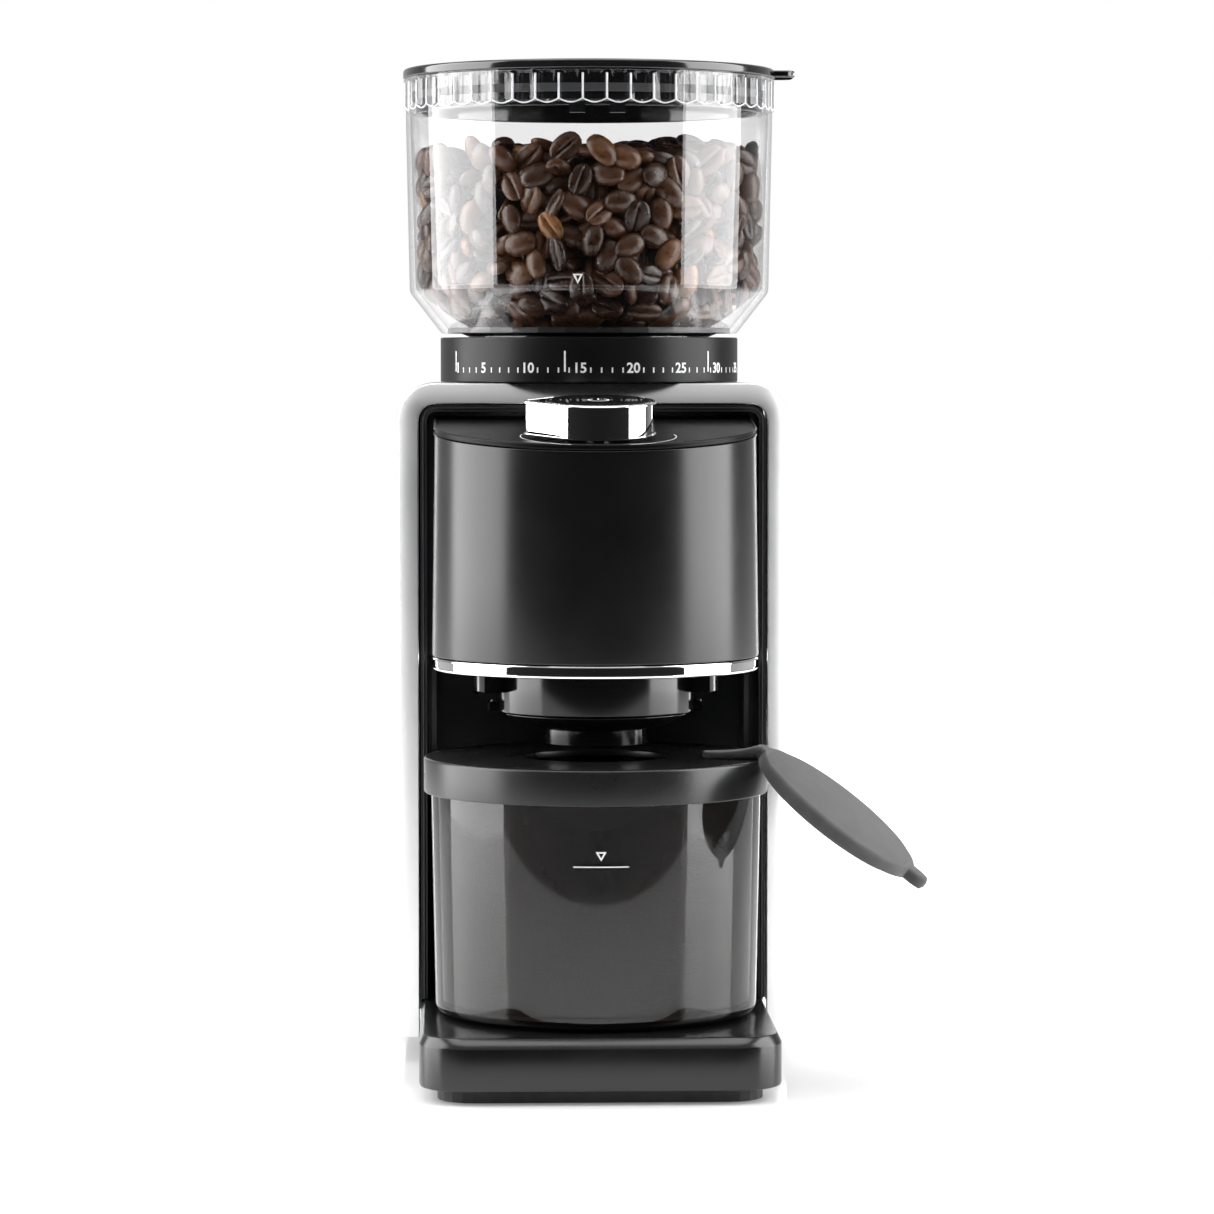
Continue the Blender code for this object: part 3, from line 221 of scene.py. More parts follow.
def standsFor(piece, body, slot=None, *nodes):
    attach(piece, body)
    if nodes:
        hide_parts(*nodes)


# materials


def finish(name, colour, roughness, metallic=0.0):
    made = bpy.data.materials.new(name)
    made.use_nodes = True
    shader = made.node_tree.nodes["Principled BSDF"]
    shader.inputs["Base Color"].default_value = (*colour, 1)
    shader.inputs["Roughness"].default_value = roughness
    shader.inputs["Metallic"].default_value = metallic
    return made, made.node_tree, shader


def node(tree, kind, **inputs):
    added = tree.nodes.new(kind)
    for key, value in inputs.items():
        added.inputs[key.replace("_", " ")].default_value = value
    return added


def place(tree):
    return tree.nodes.new("ShaderNodeTexCoord").outputs["Object"]


def grain(tree, scale, detail=4.0, rough=0.6, stretch=None):
    noise = node(tree, "ShaderNodeTexNoise", Scale=scale, Detail=detail, Roughness=rough)
    where = place(tree)
    if stretch:
        mapping = node(tree, "ShaderNodeMapping", Scale=stretch)
        tree.links.new(where, mapping.inputs["Vector"])
        where = mapping.outputs["Vector"]
    tree.links.new(where, noise.inputs["Vector"])
    return noise.outputs["Fac"]


def between(tree, value, low, high):  # remaps a 0..1 noise to low..high
    spread = node(tree, "ShaderNodeMapRange")
    spread.inputs["From Min"].default_value = 0.3
    spread.inputs["From Max"].default_value = 0.7
    spread.inputs["To Min"].default_value = low
    spread.inputs["To Max"].default_value = high
    tree.links.new(value, spread.inputs["Value"])
    return spread.outputs["Result"]


def shades(tree, value, *stops):  # stops are (position, colour)
    ramp = tree.nodes.new("ShaderNodeValToRGB")
    while len(ramp.color_ramp.elements) < len(stops):
        ramp.color_ramp.elements.new(0.5)
    for element, (position, colour) in zip(ramp.color_ramp.elements, stops):
        element.position = position
        element.color = (*colour, 1)
    tree.links.new(value, ramp.inputs["Fac"])
    return ramp.outputs["Color"]


def coloured(tree, shader, value, *stops):
    tree.links.new(shades(tree, value, *stops), shader.inputs["Base Color"])


def bumpy(tree, shader, value, strength, depth):
    bump = node(tree, "ShaderNodeBump", Strength=strength, Distance=depth)
    tree.links.new(value, bump.inputs["Height"])
    tree.links.new(bump.outputs["Normal"], shader.inputs["Normal"])


def mouldedBlack(name, dark, light, roughness, grainScale, strength, coat=0.0):
    made, tree, shader = finish(name, light, roughness[0])
    fine = grain(tree, grainScale, 3)
    broad = grain(tree, 35, 3)
    coloured(tree, shader, broad, (0.3, dark), (0.7, light))
    tree.links.new(between(tree, broad, *roughness), shader.inputs["Roughness"])
    bumpy(tree, shader, fine, strength, 0.05 * mm)
    shader.inputs["Coat Weight"].default_value = coat
    shader.inputs["Coat Roughness"].default_value = 0.06
    return made


def metal(name, colour, roughness, scratch, stretch):
    made, tree, shader = finish(name, colour, roughness[0], 1.0)
    lines = grain(tree, 60, 6, 0.7, stretch)
    haze = grain(tree, 14, 3)
    tree.links.new(between(tree, haze, *roughness), shader.inputs["Roughness"])
    bumpy(tree, shader, lines, scratch, 0.01 * mm)
    return made


def rubberLook():
    made, tree, shader = finish("mattRubber", (0.045, 0.045, 0.047), 0.75)
    fine = grain(tree, 1400, 3)
    dust = grain(tree, 120, 4)
    coloured(tree, shader, dust, (0.35, (0.029, 0.029, 0.030)), (0.7, (0.042, 0.042, 0.044)))
    bumpy(tree, shader, fine, 0.25, 0.08 * mm)
    shader.inputs["Sheen Weight"].default_value = 0.2
    shader.inputs["Sheen Roughness"].default_value = 0.5
    return made


def seeThrough(name, colour, facing, edge, roughness):  # a thin clear wall: more mirror towards its edges
    made, tree, shader = finish(name, colour, roughness)
    rim = node(tree, "ShaderNodeLayerWeight", Blend=0.5)
    steep = tree.nodes.new("ShaderNodeMath")
    steep.operation = "POWER"
    steep.inputs[1].default_value = 4.0
    tree.links.new(rim.outputs["Facing"], steep.inputs[0])
    spread = node(tree, "ShaderNodeMapRange")
    spread.inputs["To Min"].default_value = facing
    spread.inputs["To Max"].default_value = edge
    tree.links.new(steep.outputs[0], spread.inputs["Value"])
    tree.links.new(spread.outputs["Result"], shader.inputs["Alpha"])
    bumpy(tree, shader, grain(tree, 18, 2), 0.05, 0.1 * mm)
    return made, tree, shader


looks = {
    "steel": metal("polishedSteel", (0.96, 0.96, 0.96), (0.3, 0.34), 0.01, (1, 1, 14)),
    "chrome": metal("brightChrome", (0.9, 0.9, 0.91), (0.02, 0.05), 0.01, (1, 1, 1)),
    "machined": metal("machinedSteel", (0.5, 0.5, 0.52), (0.25, 0.4), 0.25, (1, 1, 20)),
    "satin": mouldedBlack(
        "satinBlack", (0.011, 0.011, 0.012), (0.016, 0.016, 0.017), (0.32, 0.4), 2600, 0.06,
    ),
    "head": mouldedBlack(
        "headBlack", (0.0028, 0.0028, 0.003), (0.004, 0.004, 0.0042), (0.22, 0.26), 2600, 0.03,
    ),
    "matt": mouldedBlack("mattBlack", (0.010, 0.010, 0.011), (0.016, 0.016, 0.017), (0.42, 0.55), 2000, 0.12),
    "gloss": mouldedBlack(
        "glossBlack", (0.006, 0.006, 0.007), (0.009, 0.009, 0.010), (0.1, 0.16), 900, 0.01, 0.5,
    ),
    "rubber": rubberLook(),
    "nylon": mouldedBlack("whiteNylon", (0.62, 0.6, 0.55), (0.74, 0.72, 0.67), (0.4, 0.5), 1500, 0.1),
    "bronze": metal("bronze", (0.55, 0.36, 0.18), (0.3, 0.45), 0.2, (1, 1, 1)),
    "board": mouldedBlack("boardGreen", (0.01, 0.10, 0.035), (0.02, 0.16, 0.06), (0.35, 0.5), 1500, 0.1),
}


def hopperPlastic():
    made, _, shader = seeThrough("clearPlastic", (0.95, 0.95, 0.96), 0.05, 0.85, 0.02)
    shader.inputs["Metallic"].default_value = 1.0
    return made


def smokedPlastic():
    made, _, shader = seeThrough("smokedPlastic", (0.006, 0.0052, 0.0052), 0.45, 0.95, 0.05)
    shader.inputs["IOR"].default_value = 1.75
    return made


def printLook():
    made, tree, shader = finish("whitePrint", (0.75, 0.75, 0.75), 0.5)
    worn = grain(tree, 900, 3)
    coloured(tree, shader, worn, (0.3, (0.66, 0.66, 0.66)), (0.7, (0.82, 0.82, 0.82)))
    return made


def clearEdgeLook():  # painted highlight: a white, partly see-through colour standing in for the light that the flute edges catch
    made, tree, shader = finish("paintedFluteHighlight", (0.82, 0.82, 0.84), 0.22)
    haze = grain(tree, 260, 3)
    tree.links.new(between(tree, haze, 0.45, 0.8), shader.inputs["Alpha"])
    return made


looks["headCap"] = mouldedBlack(
    "capBlack", (0.004, 0.004, 0.0042), (0.006, 0.006, 0.0062), (0.34, 0.4), 2600, 0.05,
)
looks["headCap"].node_tree.nodes["Principled BSDF"].inputs["IOR"].default_value = 1.22
looks["clear"] = hopperPlastic()
# painted highlight colour for the edges between the hopper's flutes
looks["paintedFluteHighlight"] = clearEdgeLook()
looks["smoked"] = smokedPlastic()
looks["print"] = printLook()
print("materials made")

# steel wrap

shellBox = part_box("steel_shell")
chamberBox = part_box("grind_chamber")
wrap = {
    "hole": chamberBox[1][0] - 2.5 * mm, "holeY": (chamberBox[0][1] + chamberBox[1][1]) / 2, "flat": 1 * mm,
    "corner": 13 * mm, "rimWidth": 7.2 * mm, "rimDepth": 3 * mm, "sheet": 1.2 * mm, "edge": 0.5 * mm,
    "cornerSteps": 20, "drill": 5 * mm,
}


def steelWrap():
    half, top, foot = shellBox[1][0], shellBox[1][2], shellBox[0][2]
    front, back = shellBox[0][1], shellBox[1][1]
    edge = wrap["edge"]
    section = softCorners(
        [
            (0, back), (0, front + wrap["rimDepth"], edge), (wrap["rimWidth"], front, edge),
            (wrap["rimWidth"], front + wrap["sheet"], edge / 2),
            (wrap["sheet"], front + wrap["rimDepth"] + wrap["sheet"]), (wrap["sheet"], back),
        ],
        4,
    )
    corner = wrap["corner"]
    cornerX, cornerZ = half - corner, top - corner
    loops = [[(half - inset, y, foot) for inset, y in section]]
    for side, start in ((1, 0), (-1, pi / 2)):
        for step in range(wrap["cornerSteps"] + 1):
            angle = start + pi / 2 * step / wrap["cornerSteps"]
            loops.append([
                (side * cornerX + (corner - inset) * cos(angle), y, cornerZ + (corner - inset) * sin(angle))
                for inset, y in section
            ])
        if side == 1:  # the flat top starts and ends a little inside its corners
            for x in (cornerX - wrap["flat"], wrap["flat"] - cornerX):
                loops.append([(x, y, top - inset) for inset, y in section])
    loops.append([(inset - half, y, foot) for inset, y in section])
    shell = loft("steelWrap", loops, looks["steel"])
    above, below = top + wrap["drill"], top - wrap["drill"]
    hole = [(0, above), (wrap["hole"], above), (wrap["hole"], below), (0, below)]
    bored(shell, lathe("wrapHole", hole, looks["steel"], (0, wrap["holeY"], 0), 96, closed=False))
    standsFor(shell, "root", "polished_steel", "steel_shell")


def linerRidge():  # a thin bead round the front of the black inner frame
    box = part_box("niche_liner")
    bead = {"inset": 1.1 * mm, "radius": 0.45 * mm, "corner": 4.4 * mm, "steps": 12, "sides": 10}
    half, top, front = box[1][0] - bead["inset"], box[1][2] - bead["inset"], box[0][1]
    path = [(half, box[0][2] + bead["radius"], 0)]
    for side, start in ((1, 0), (-1, pi / 2)):
        for step in range(bead["steps"] + 1):
            angle = start + pi / 2 * step / bead["steps"]
            path.append((
                side * (half - bead["corner"]) + bead["corner"] * cos(angle),
                top - bead["corner"] + bead["corner"] * sin(angle), angle,
            ))
    path.append((-half, box[0][2] + bead["radius"], pi))
    loops = []
    for x, z, angle in path:
        loop = []
        for step in range(bead["sides"]):
            turn = 2 * pi * step / bead["sides"]
            out = bead["radius"] * cos(turn)
            loop.append((x + out * cos(angle), front + bead["radius"] * sin(turn), z + out * sin(angle)))
        loops.append(loop)
    standsFor(loft("linerRidge", loops, looks["satin"]), "root", "matt_black")


steelWrap()
linerRidge()
for name in ("niche_liner", "rear_cover"):
    softEdges(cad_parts[name], 0.5 * mm)
print("steel wrap made")

# head

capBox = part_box("head_cap")
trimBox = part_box("head_trim_ring")
head = {
    "slope": radians(5.5), "draft": 0.65 * mm, "wall": 2.5 * mm, "gap": 0.3 * mm,
    "cap": 2 * mm, "edge": 0.7 * mm, "seam": 0.35 * mm, "trimEdge": 0.8 * mm, "steps": 84,
    "radius": capBox[1][0], "back": capBox[1][1], "middle": capBox[0][1] + capBox[1][0],
    "top": capBox[1][2], "bottom": trimBox[0][2], "trimTop": trimBox[1][2],
}


def slopeAt(y, drop=0.0):
    return head["top"] - (head["back"] - y) * tan(head["slope"]) - drop


def headLoop(inset, height, flare=0.0):  # height is a level, or a function of y
    radius = head["radius"] + flare - inset
    outline = arc(0, head["middle"], radius, pi, 2 * pi, head["steps"])
    outline += [(radius, head["back"] - inset), (-radius, head["back"] - inset)]
    return [(x, y, height(y) if callable(height) else height) for x, y in outline]


def headShell():
    low, drop, wall = head["trimTop"] + head["gap"], head["cap"] + head["gap"], head["wall"]
    bottom = [headLoop(i, low + d, head["draft"]) for i, d in edgeProfile(head["seam"])][::-1]
    top = [headLoop(i, lambda y, d=d: slopeAt(y, drop + d)) for i, d in edgeProfile(head["seam"])]
    inside = [headLoop(wall, lambda y: slopeAt(y, drop)), headLoop(wall, low, head["draft"])]
    shell = loft("headShell", bottom + top[::-1] + inside, looks["head"], ring=True)
    standsFor(shell, "root", "satin_black", "head_shell")


def headCap():
    under = [headLoop(i, lambda y, d=d: slopeAt(y, head["cap"] - d)) for i, d in edgeProfile(head["seam"])]
    over = [headLoop(i, lambda y, d=d: slopeAt(y, d)) for i, d in edgeProfile(head["edge"])]
    cap = loft("headCap", under + over[::-1], looks["headCap"])
    standsFor(cap, "root", "satin_black", "head_cap")


def headTrim():
    edge, wall = head["trimEdge"], head["wall"]
    bottom = [headLoop(i, head["bottom"] + d, head["draft"]) for i, d in edgeProfile(edge)]
    top = [headLoop(i, head["trimTop"] - d, head["draft"]) for i, d in edgeProfile(edge)]
    inside = [headLoop(wall, head["trimTop"], head["draft"]), headLoop(wall, head["bottom"], head["draft"])]
    trim = loft("headTrimRing", bottom + top[::-1] + inside, looks["chrome"], ring=True)
    standsFor(trim, "root", "chrome", "head_trim_ring")


headShell()
headCap()
headTrim()
print("head made")

# timer knob and start button

knob = {
    "radius": 19.3 * mm, "nose": 21 * mm, "noseRound": 4 * mm, "low": 0.5 * mm, "high": 12 * mm,
    "edge": 0.7 * mm, "rim": 1.2 * mm, "seat": 8.5 * mm, "spindle": 4 * mm, "deep": -10 * mm,
    "y": head["middle"] - head["radius"] + 23 * mm,
    "buttonHigh": 12.2 * mm, "buttonLow": 9.9 * mm, "buttonEdge": 0.5 * mm, "stem": 1.6 * mm,
    "footEdge": 0.6 * mm, "play": 0.3 * mm, "boreRoof": 2 * mm, "stemLow": -9 * mm,
    "symbol": 3.4 * mm, "symbolLine": 0.32 * mm, "symbolGap": 0.6, "strokeLow": 0.9 * mm,
    "strokeOver": 1 * mm, "printThick": 0.04 * mm, "printSteps": 40,
    "arc": 26 * mm, "arcLine": 0.14 * mm, "arcSweep": radians(80),
}
knobPlace = (0, knob["y"], slopeAt(knob["y"]))
knobTurn = (head["slope"], 0, 0)


def knobOutline(inset):
    radius, tip = knob["radius"] - inset, knob["noseRound"] - inset
    lean = asin((knob["radius"] - knob["noseRound"]) / knob["nose"])
    touch = pi / 2 + lean
    body = arc(0, 0, radius, -touch, touch, 120)
    nose = arc(-knob["nose"], 0, max(tip, 0.2 * mm), touch, 2 * pi - touch, 16)
    return body + nose


def timerKnob():
    outer = [(i, knob["low"] + d) for i, d in edgeProfile(knob["footEdge"])]
    outer += [(i, knob["high"] - d) for i, d in edgeProfile(knob["edge"])][::-1]
    outer.append((knob["rim"], knob["high"]))
    loops = [[(x, y, z) for x, y in knobOutline(inset)] for inset, z in outer]
    recess = knob["radius"] - knob["rim"]
    well = [(recess * cos(atan2(y, x)), recess * sin(atan2(y, x))) for x, y in knobOutline(knob["rim"])]
    loops += [[(x, y, z) for x, y in well] for z in (knob["high"] - knob["play"], knob["seat"])]
    body = loft("timerKnob", loops, looks["chrome"], at=knobPlace, turn=knobTurn)
    standsFor(body, "knob", "chrome", "timer_knob")
    bore, top = knob["stem"] + knob["play"], knob["low"] + knob["boreRoof"]
    stem = [(bore, top), (knob["spindle"], top), (knob["spindle"], knob["deep"]), (bore, knob["deep"])]
    spindle = lathe("knobSpindle", stem, looks["chrome"], knobPlace, 32, turn=knobTurn)
    standsFor(spindle, "knob", "chrome")


def flatRing(name, radius, line, start, end, z):
    inner = arc(0, 0, radius - line, start, end, knob["printSteps"])
    outer = arc(0, 0, radius + line, start, end, knob["printSteps"])
    high = z + knob["printThick"]
    rows = []
    for (ax, ay), (bx, by) in zip(inner, outer):
        rows.append([(ax, ay, z), (bx, by, z), (bx, by, high), (ax, ay, high)])
    return loft(name, rows, looks["print"], at=knobPlace, turn=knobTurn)


def startButton():
    radius, high, low = knob["radius"] - knob["rim"] - knob["play"], knob["buttonHigh"], knob["buttonLow"]
    profile = [(0, high)] + [(radius - i, high - d) for i, d in edgeProfile(knob["buttonEdge"])][::-1]
    profile += [(radius, low), (knob["stem"], low), (knob["stem"], knob["stemLow"]), (0, knob["stemLow"])]
    disc = lathe("startButton", profile, looks["gloss"], knobPlace, 120, turn=knobTurn)
    standsFor(disc, "button", "gloss_black", "start_button")
    top, half, gap = high - 0.01 * mm, knob["symbolLine"], knob["symbolGap"]
    ring = flatRing("buttonRing", knob["symbol"], half, pi / 2 + gap, 2.5 * pi - gap, top)
    near, far = knob["strokeLow"], knob["symbol"] + knob["strokeOver"]
    corners = ((-half, near), (half, near), (half, far), (-half, far))
    bar = [[(x, y, z) for x, y in corners] for z in (top, top + knob["printThick"])]
    stroke = loft("buttonStroke", bar, looks["print"], at=knobPlace, turn=knobTurn)
    for piece in (ring, stroke):
        standsFor(piece, "button")


def panelPrint():  # thin arcs on the cap, either side of the knob
    for name, begin in (("scaleArcRight", radians(-68)), ("scaleArcLeft", radians(168))):
        line = flatRing(name, knob["arc"], knob["arcLine"], begin, begin + knob["arcSweep"], 0)
        standsFor(line, "root")


timerKnob()
startButton()
panelPrint()
print("knob and button made")

# scale collar

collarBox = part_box("scale_collar")
grindAxis = ((collarBox[0][0] + collarBox[1][0]) / 2, (collarBox[0][1] + collarBox[1][1]) / 2, 0)
collar = {
    "radius": collarBox[1][0] - grindAxis[0], "low": collarBox[0][2], "high": collarBox[1][2],
    "bore": 46 * mm, "flange": 2.2 * mm, "flangeBore": 36.8 * mm, "edge": 0.6 * mm,
    "first": radians(-62), "step": radians(4.06), "numbers": (1, 5, 10, 15, 20, 25, 30, 35),
    "marks": 36, "row": 241.2 * mm, "tickRow": 240.6 * mm, "tick": 1.8 * mm, "line": 0.24 * mm,
    "digit": 4.9 * mm, "bold": 0.1 * mm, "printHalf": 0.06 * mm,
    "zones": (0.6, 13.6, 28.6), "zoneLow": 240 * mm, "zoneHigh": 247.2 * mm, "zoneLine": 0.3 * mm,
}


def markAngle(number):
    return collar["first"] + (number - 1) * collar["step"]


def onCylinder(points, faces, radius):  # points are (angle, height) on a round wall, 0 at its front
    outer = [(a, z, radius + collar["printHalf"]) for a, z in points]
    inner = [(a, z, radius - collar["printHalf"]) for a, z in points]
    count = len(points)
    solid = [(r * sin(a), -r * cos(a), z) for a, z, r in outer + inner]
    skin = [tuple(face) for face in faces] + [tuple(count + i for i in face[::-1]) for face in faces]
    edges = {}
    for face in faces:
        for i, j in zip(face, list(face[1:]) + [face[0]]):
            edges[(i, j)] = edges.get((i, j), 0) + 1
    for i, j in edges:
        if (j, i) not in edges:
            skin.append((j, i, count + i, count + j))
    return solid, skin


def wallMark(angle, low, high, line, radius):
    half = line / radius
    corners = [(angle - half, low), (angle + half, low), (angle + half, high), (angle - half, high)]
    return corners, [(0, 1, 2, 3)]


def openTriangle(angle, z, radius, mark):  # points down from z
    size, line, tip = mark["size"], mark["line"], -mark["size"] * mark["tall"]
    outer = [(-size / 2, 0), (size / 2, 0), (0, tip)]
    side = size / 2 - line * mark["side"]
    inner = [(-side, -line), (side, -line), (0, tip + line * mark["tip"])]
    points = [(angle + x / radius, z + up) for x, up in outer + inner]
    return points, [(0, 3, 4, 1), (1, 4, 5, 2), (2, 5, 3, 0)]


def digits(text, angle, z, size, radius):
    curve = bpy.data.curves.new("digits", "FONT")
    curve.body = text
    curve.size = size
    curve.align_x = "CENTER"
    curve.align_y = "CENTER"
    curve.resolution_u = 3
    curve.offset = collar["bold"]
    shown = bpy.data.objects.new("digits", curve)
    scene.collection.objects.link(shown)
    mesh = shown.evaluated_get(bpy.context.evaluated_depsgraph_get()).to_mesh()
    points = [(angle + vert.co.x / radius, z + vert.co.y) for vert in mesh.vertices]
    faces = [tuple(face.vertices) for face in mesh.polygons]
    bpy.data.objects.remove(shown)
    bpy.data.curves.remove(curve)
    return points, faces


def joinMarks(name, marks, radius, body, at):
    points, faces = [], []
    for markPoints, markFaces in marks:
        solid, skin = onCylinder(markPoints, markFaces, radius)
        start = len(points)
        points += solid
        faces += [tuple(start + i for i in face) for face in skin]
    mesh = bpy.data.meshes.new(name)
    mesh.from_pydata(points, [], faces)
    mesh.update()
    standsFor(link(name, mesh, looks["print"], at), body)


def scaleCollar():
    radius, low, high = collar["radius"], collar["low"], collar["high"]
    outline = softCorners([
        (radius, high, collar["edge"]), (radius, low, 0.4 * mm), (collar["flangeBore"], low),
        (collar["flangeBore"], low + collar["flange"]), (collar["bore"], low + collar["flange"]),
        (collar["bore"], high, 0.3 * mm),
    ], 4)
    ring = lathe("scaleCollar", outline, looks["collar"], grindAxis, 192)
    standsFor(ring, "root", "gloss_black", "scale_collar")
    ticks, numbers = [], []
    tickLow, tickHigh = collar["tickRow"] - collar["tick"] / 2, collar["tickRow"] + collar["tick"] / 2
    for number in range(1, collar["marks"] + 1):
        angle = markAngle(number)
        if number in collar["numbers"]:
            numbers.append(digits(str(number), angle, collar["row"], collar["digit"], radius))
        else:
            ticks.append(wallMark(angle, tickLow, tickHigh, collar["line"], radius))
    for zone in collar["zones"]:
        angle = markAngle(zone)
        ticks.append(wallMark(angle, collar["zoneLow"], collar["zoneHigh"], collar["zoneLine"], radius))
    joinMarks("scaleTicks", ticks, radius, "root", grindAxis)
    joinMarks("scaleNumbers", numbers, radius, "root", grindAxis)


looks["collar"] = mouldedBlack(
    "collarBlack", (0.004, 0.004, 0.0042), (0.006, 0.006, 0.0062), (0.3, 0.36), 2400, 0.03,
)
looks["collar"].node_tree.nodes["Principled BSDF"].inputs["Specular IOR Level"].default_value = 0.2
scaleCollar()
print("scale collar made")

# hopper and its lid

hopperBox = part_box("hopper")
hopper = {
    "radius": hopperBox[1][0] - grindAxis[0], "taper": 2 * mm, "wall": 2.2 * mm, "top": hopperBox[1][2],
    "band": 11 * mm, "flutes": 50, "fluteDepth": 1.0 * mm, "ledge": 0.7 * mm,
    "foot": collar["high"] + 1.5 * mm, "cone": 14.5 * mm, "neck": 42.5 * mm, "neckLow": 242.5 * mm,
    "throat": 25 * mm, "throatLow": 238 * mm, "throatHigh": 245.4 * mm,
    "pointerAngle": radians(-5.2), "pointerTop": 273.4 * mm,
    "pointer": {"size": 3.6 * mm, "line": 0.5 * mm, "tall": 0.95, "side": 1.9, "tip": 2.1},
    "heapFoot": 41.5 * mm, "rib": 0.32 * mm, "ribSides": 6, "scallop": 1.3 * mm, "scallopDepth": 0.3 * mm,
    "ribSink": 0.1 * mm, "stepsPerFlute": 12,
}


def hopperWall():
    radius, wall, top, foot = hopper["radius"], hopper["wall"], hopper["top"], hopper["foot"]
    band, shoulder, taper = top - hopper["band"], foot + hopper["cone"], hopper["taper"]
    coneFoot, inner = collar["radius"], radius - wall
    neck, neckLow, throat = hopper["neck"], hopper["neckLow"], hopper["throat"]
    throatLow, throatHigh = hopper["throatLow"], hopper["throatHigh"]
    outline = softCorners([
        (radius, top, 0.4 * mm), (radius, top - 1.2 * mm), (radius, band + 0.8 * mm, 0.3 * mm),
        (radius - hopper["ledge"], band, 0.3 * mm),
        (radius - taper, shoulder, 4 * mm), (coneFoot + 0.6 * mm, foot + 1.2 * mm, 0.8 * mm),
        (coneFoot - 0.5 * mm, foot), (neck, foot), (neck, neckLow), (neck - wall, neckLow),
        (neck - wall, throatHigh + 1.5 * mm), (throat + wall, throatHigh - 1.6 * mm),
        (throat + wall, throatLow), (throat, throatLow), (throat, throatHigh, 2 * mm),
        (coneFoot - wall, foot + 1.9 * mm), (inner - taper, shoulder + 1 * mm, 5 * mm),
        (inner, band), (inner, top, 0.4 * mm),
    ], 5)

    def fluted(r, z, angle):
        inBand = band + 0.5 * mm < z < top - 0.6 * mm and r > inner + wall / 2
        return r - hopper["fluteDepth"] * abs(sin(angle * hopper["flutes"] / 2)) ** 0.8 if inBand else r

    shell = lathe("hopperShell", outline, looks["clear"], grindAxis, 400, warp=fluted)
    standsFor(shell, "hopper", "clear_plastic", "hopper")
    wallAt = radius - taper * 0.8
    pointer = openTriangle(hopper["pointerAngle"], hopper["pointerTop"], wallAt, hopper["pointer"])
    joinMarks("grindPointer", [pointer], wallAt + 0.1 * mm, "hopper", grindAxis)


def fluteEdges():  # painted highlights: white ribs on the edges between the flutes, and a scalloped white line under them
    low, high = hopper["top"] - hopper["band"] + 1 * mm, hopper["top"] - 1.4 * mm
    rib, flutes, sides = hopper["rib"], hopper["flutes"], hopper["ribSides"]
    wallAt = hopper["radius"] - hopper["ribSink"]
    turns = [2 * pi * side / sides for side in range(sides)]
    points, faces = [], []
    for flute in range(flutes):
        angle, start = 2 * pi * flute / flutes, len(points)
        for z in (low, high):
            for turn in turns:
                r, a = wallAt + rib * cos(turn), angle + rib * 1.3 * sin(turn) / hopper["radius"]
                points.append((r * cos(a), r * sin(a), z))
        for side in range(sides):
            after = (side + 1) % sides
            faces.append((start + side, start + after, start + sides + after, start + sides + side))
        faces.append(tuple(start + side for side in range(sides))[::-1])
        faces.append(tuple(start + sides + side for side in range(sides)))
    steps, start = flutes * hopper["stepsPerFlute"], len(points)
    for step in range(steps):
        angle = 2 * pi * step / steps
        wave = abs(sin(angle * flutes / 2))
        for turn in turns:
            r = wallAt - hopper["scallopDepth"] * wave + rib * 0.8 * cos(turn)
            z = low - hopper["scallop"] * wave + rib * 0.8 * sin(turn)
            points.append((r * cos(angle), r * sin(angle), z))
    for step in range(steps):
        here, there = start + step * sides, start + (step + 1) % steps * sides
        for side in range(sides):
            after = (side + 1) % sides
            faces.append((here + side, there + side, there + after, here + after))
    # the ribs carry the painted highlight colour, not a material of the hopper itself
    edges = closedMesh("fluteEdges", points, faces, looks["paintedFluteHighlight"], grindAxis)
    standsFor(edges, "hopper", "clear_plastic")


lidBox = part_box("hopper_lid")
hopperLid = {
    "radius": hopper["radius"] + 0.2 * mm, "low": hopper["top"] + 0.3 * mm, "high": lidBox[1][2],
    "skirt": 61.2 * mm, "skirtLow": lidBox[0][2], "plate": 2.2 * mm, "edge": 1.1 * mm,
    "tabReach": lidBox[1][0] - grindAxis[0], "tabHalf": 9 * mm, "tabRound": 4 * mm,
    "tongues": (radians(-5.5), radians(7.5)), "tongueHalf": 2.7 * mm, "tongueDrop": 2.6 * mm,
    "skirtWall": 2 * mm, "tabEdge": 0.6 * mm, "tongueSteps": 4,
}


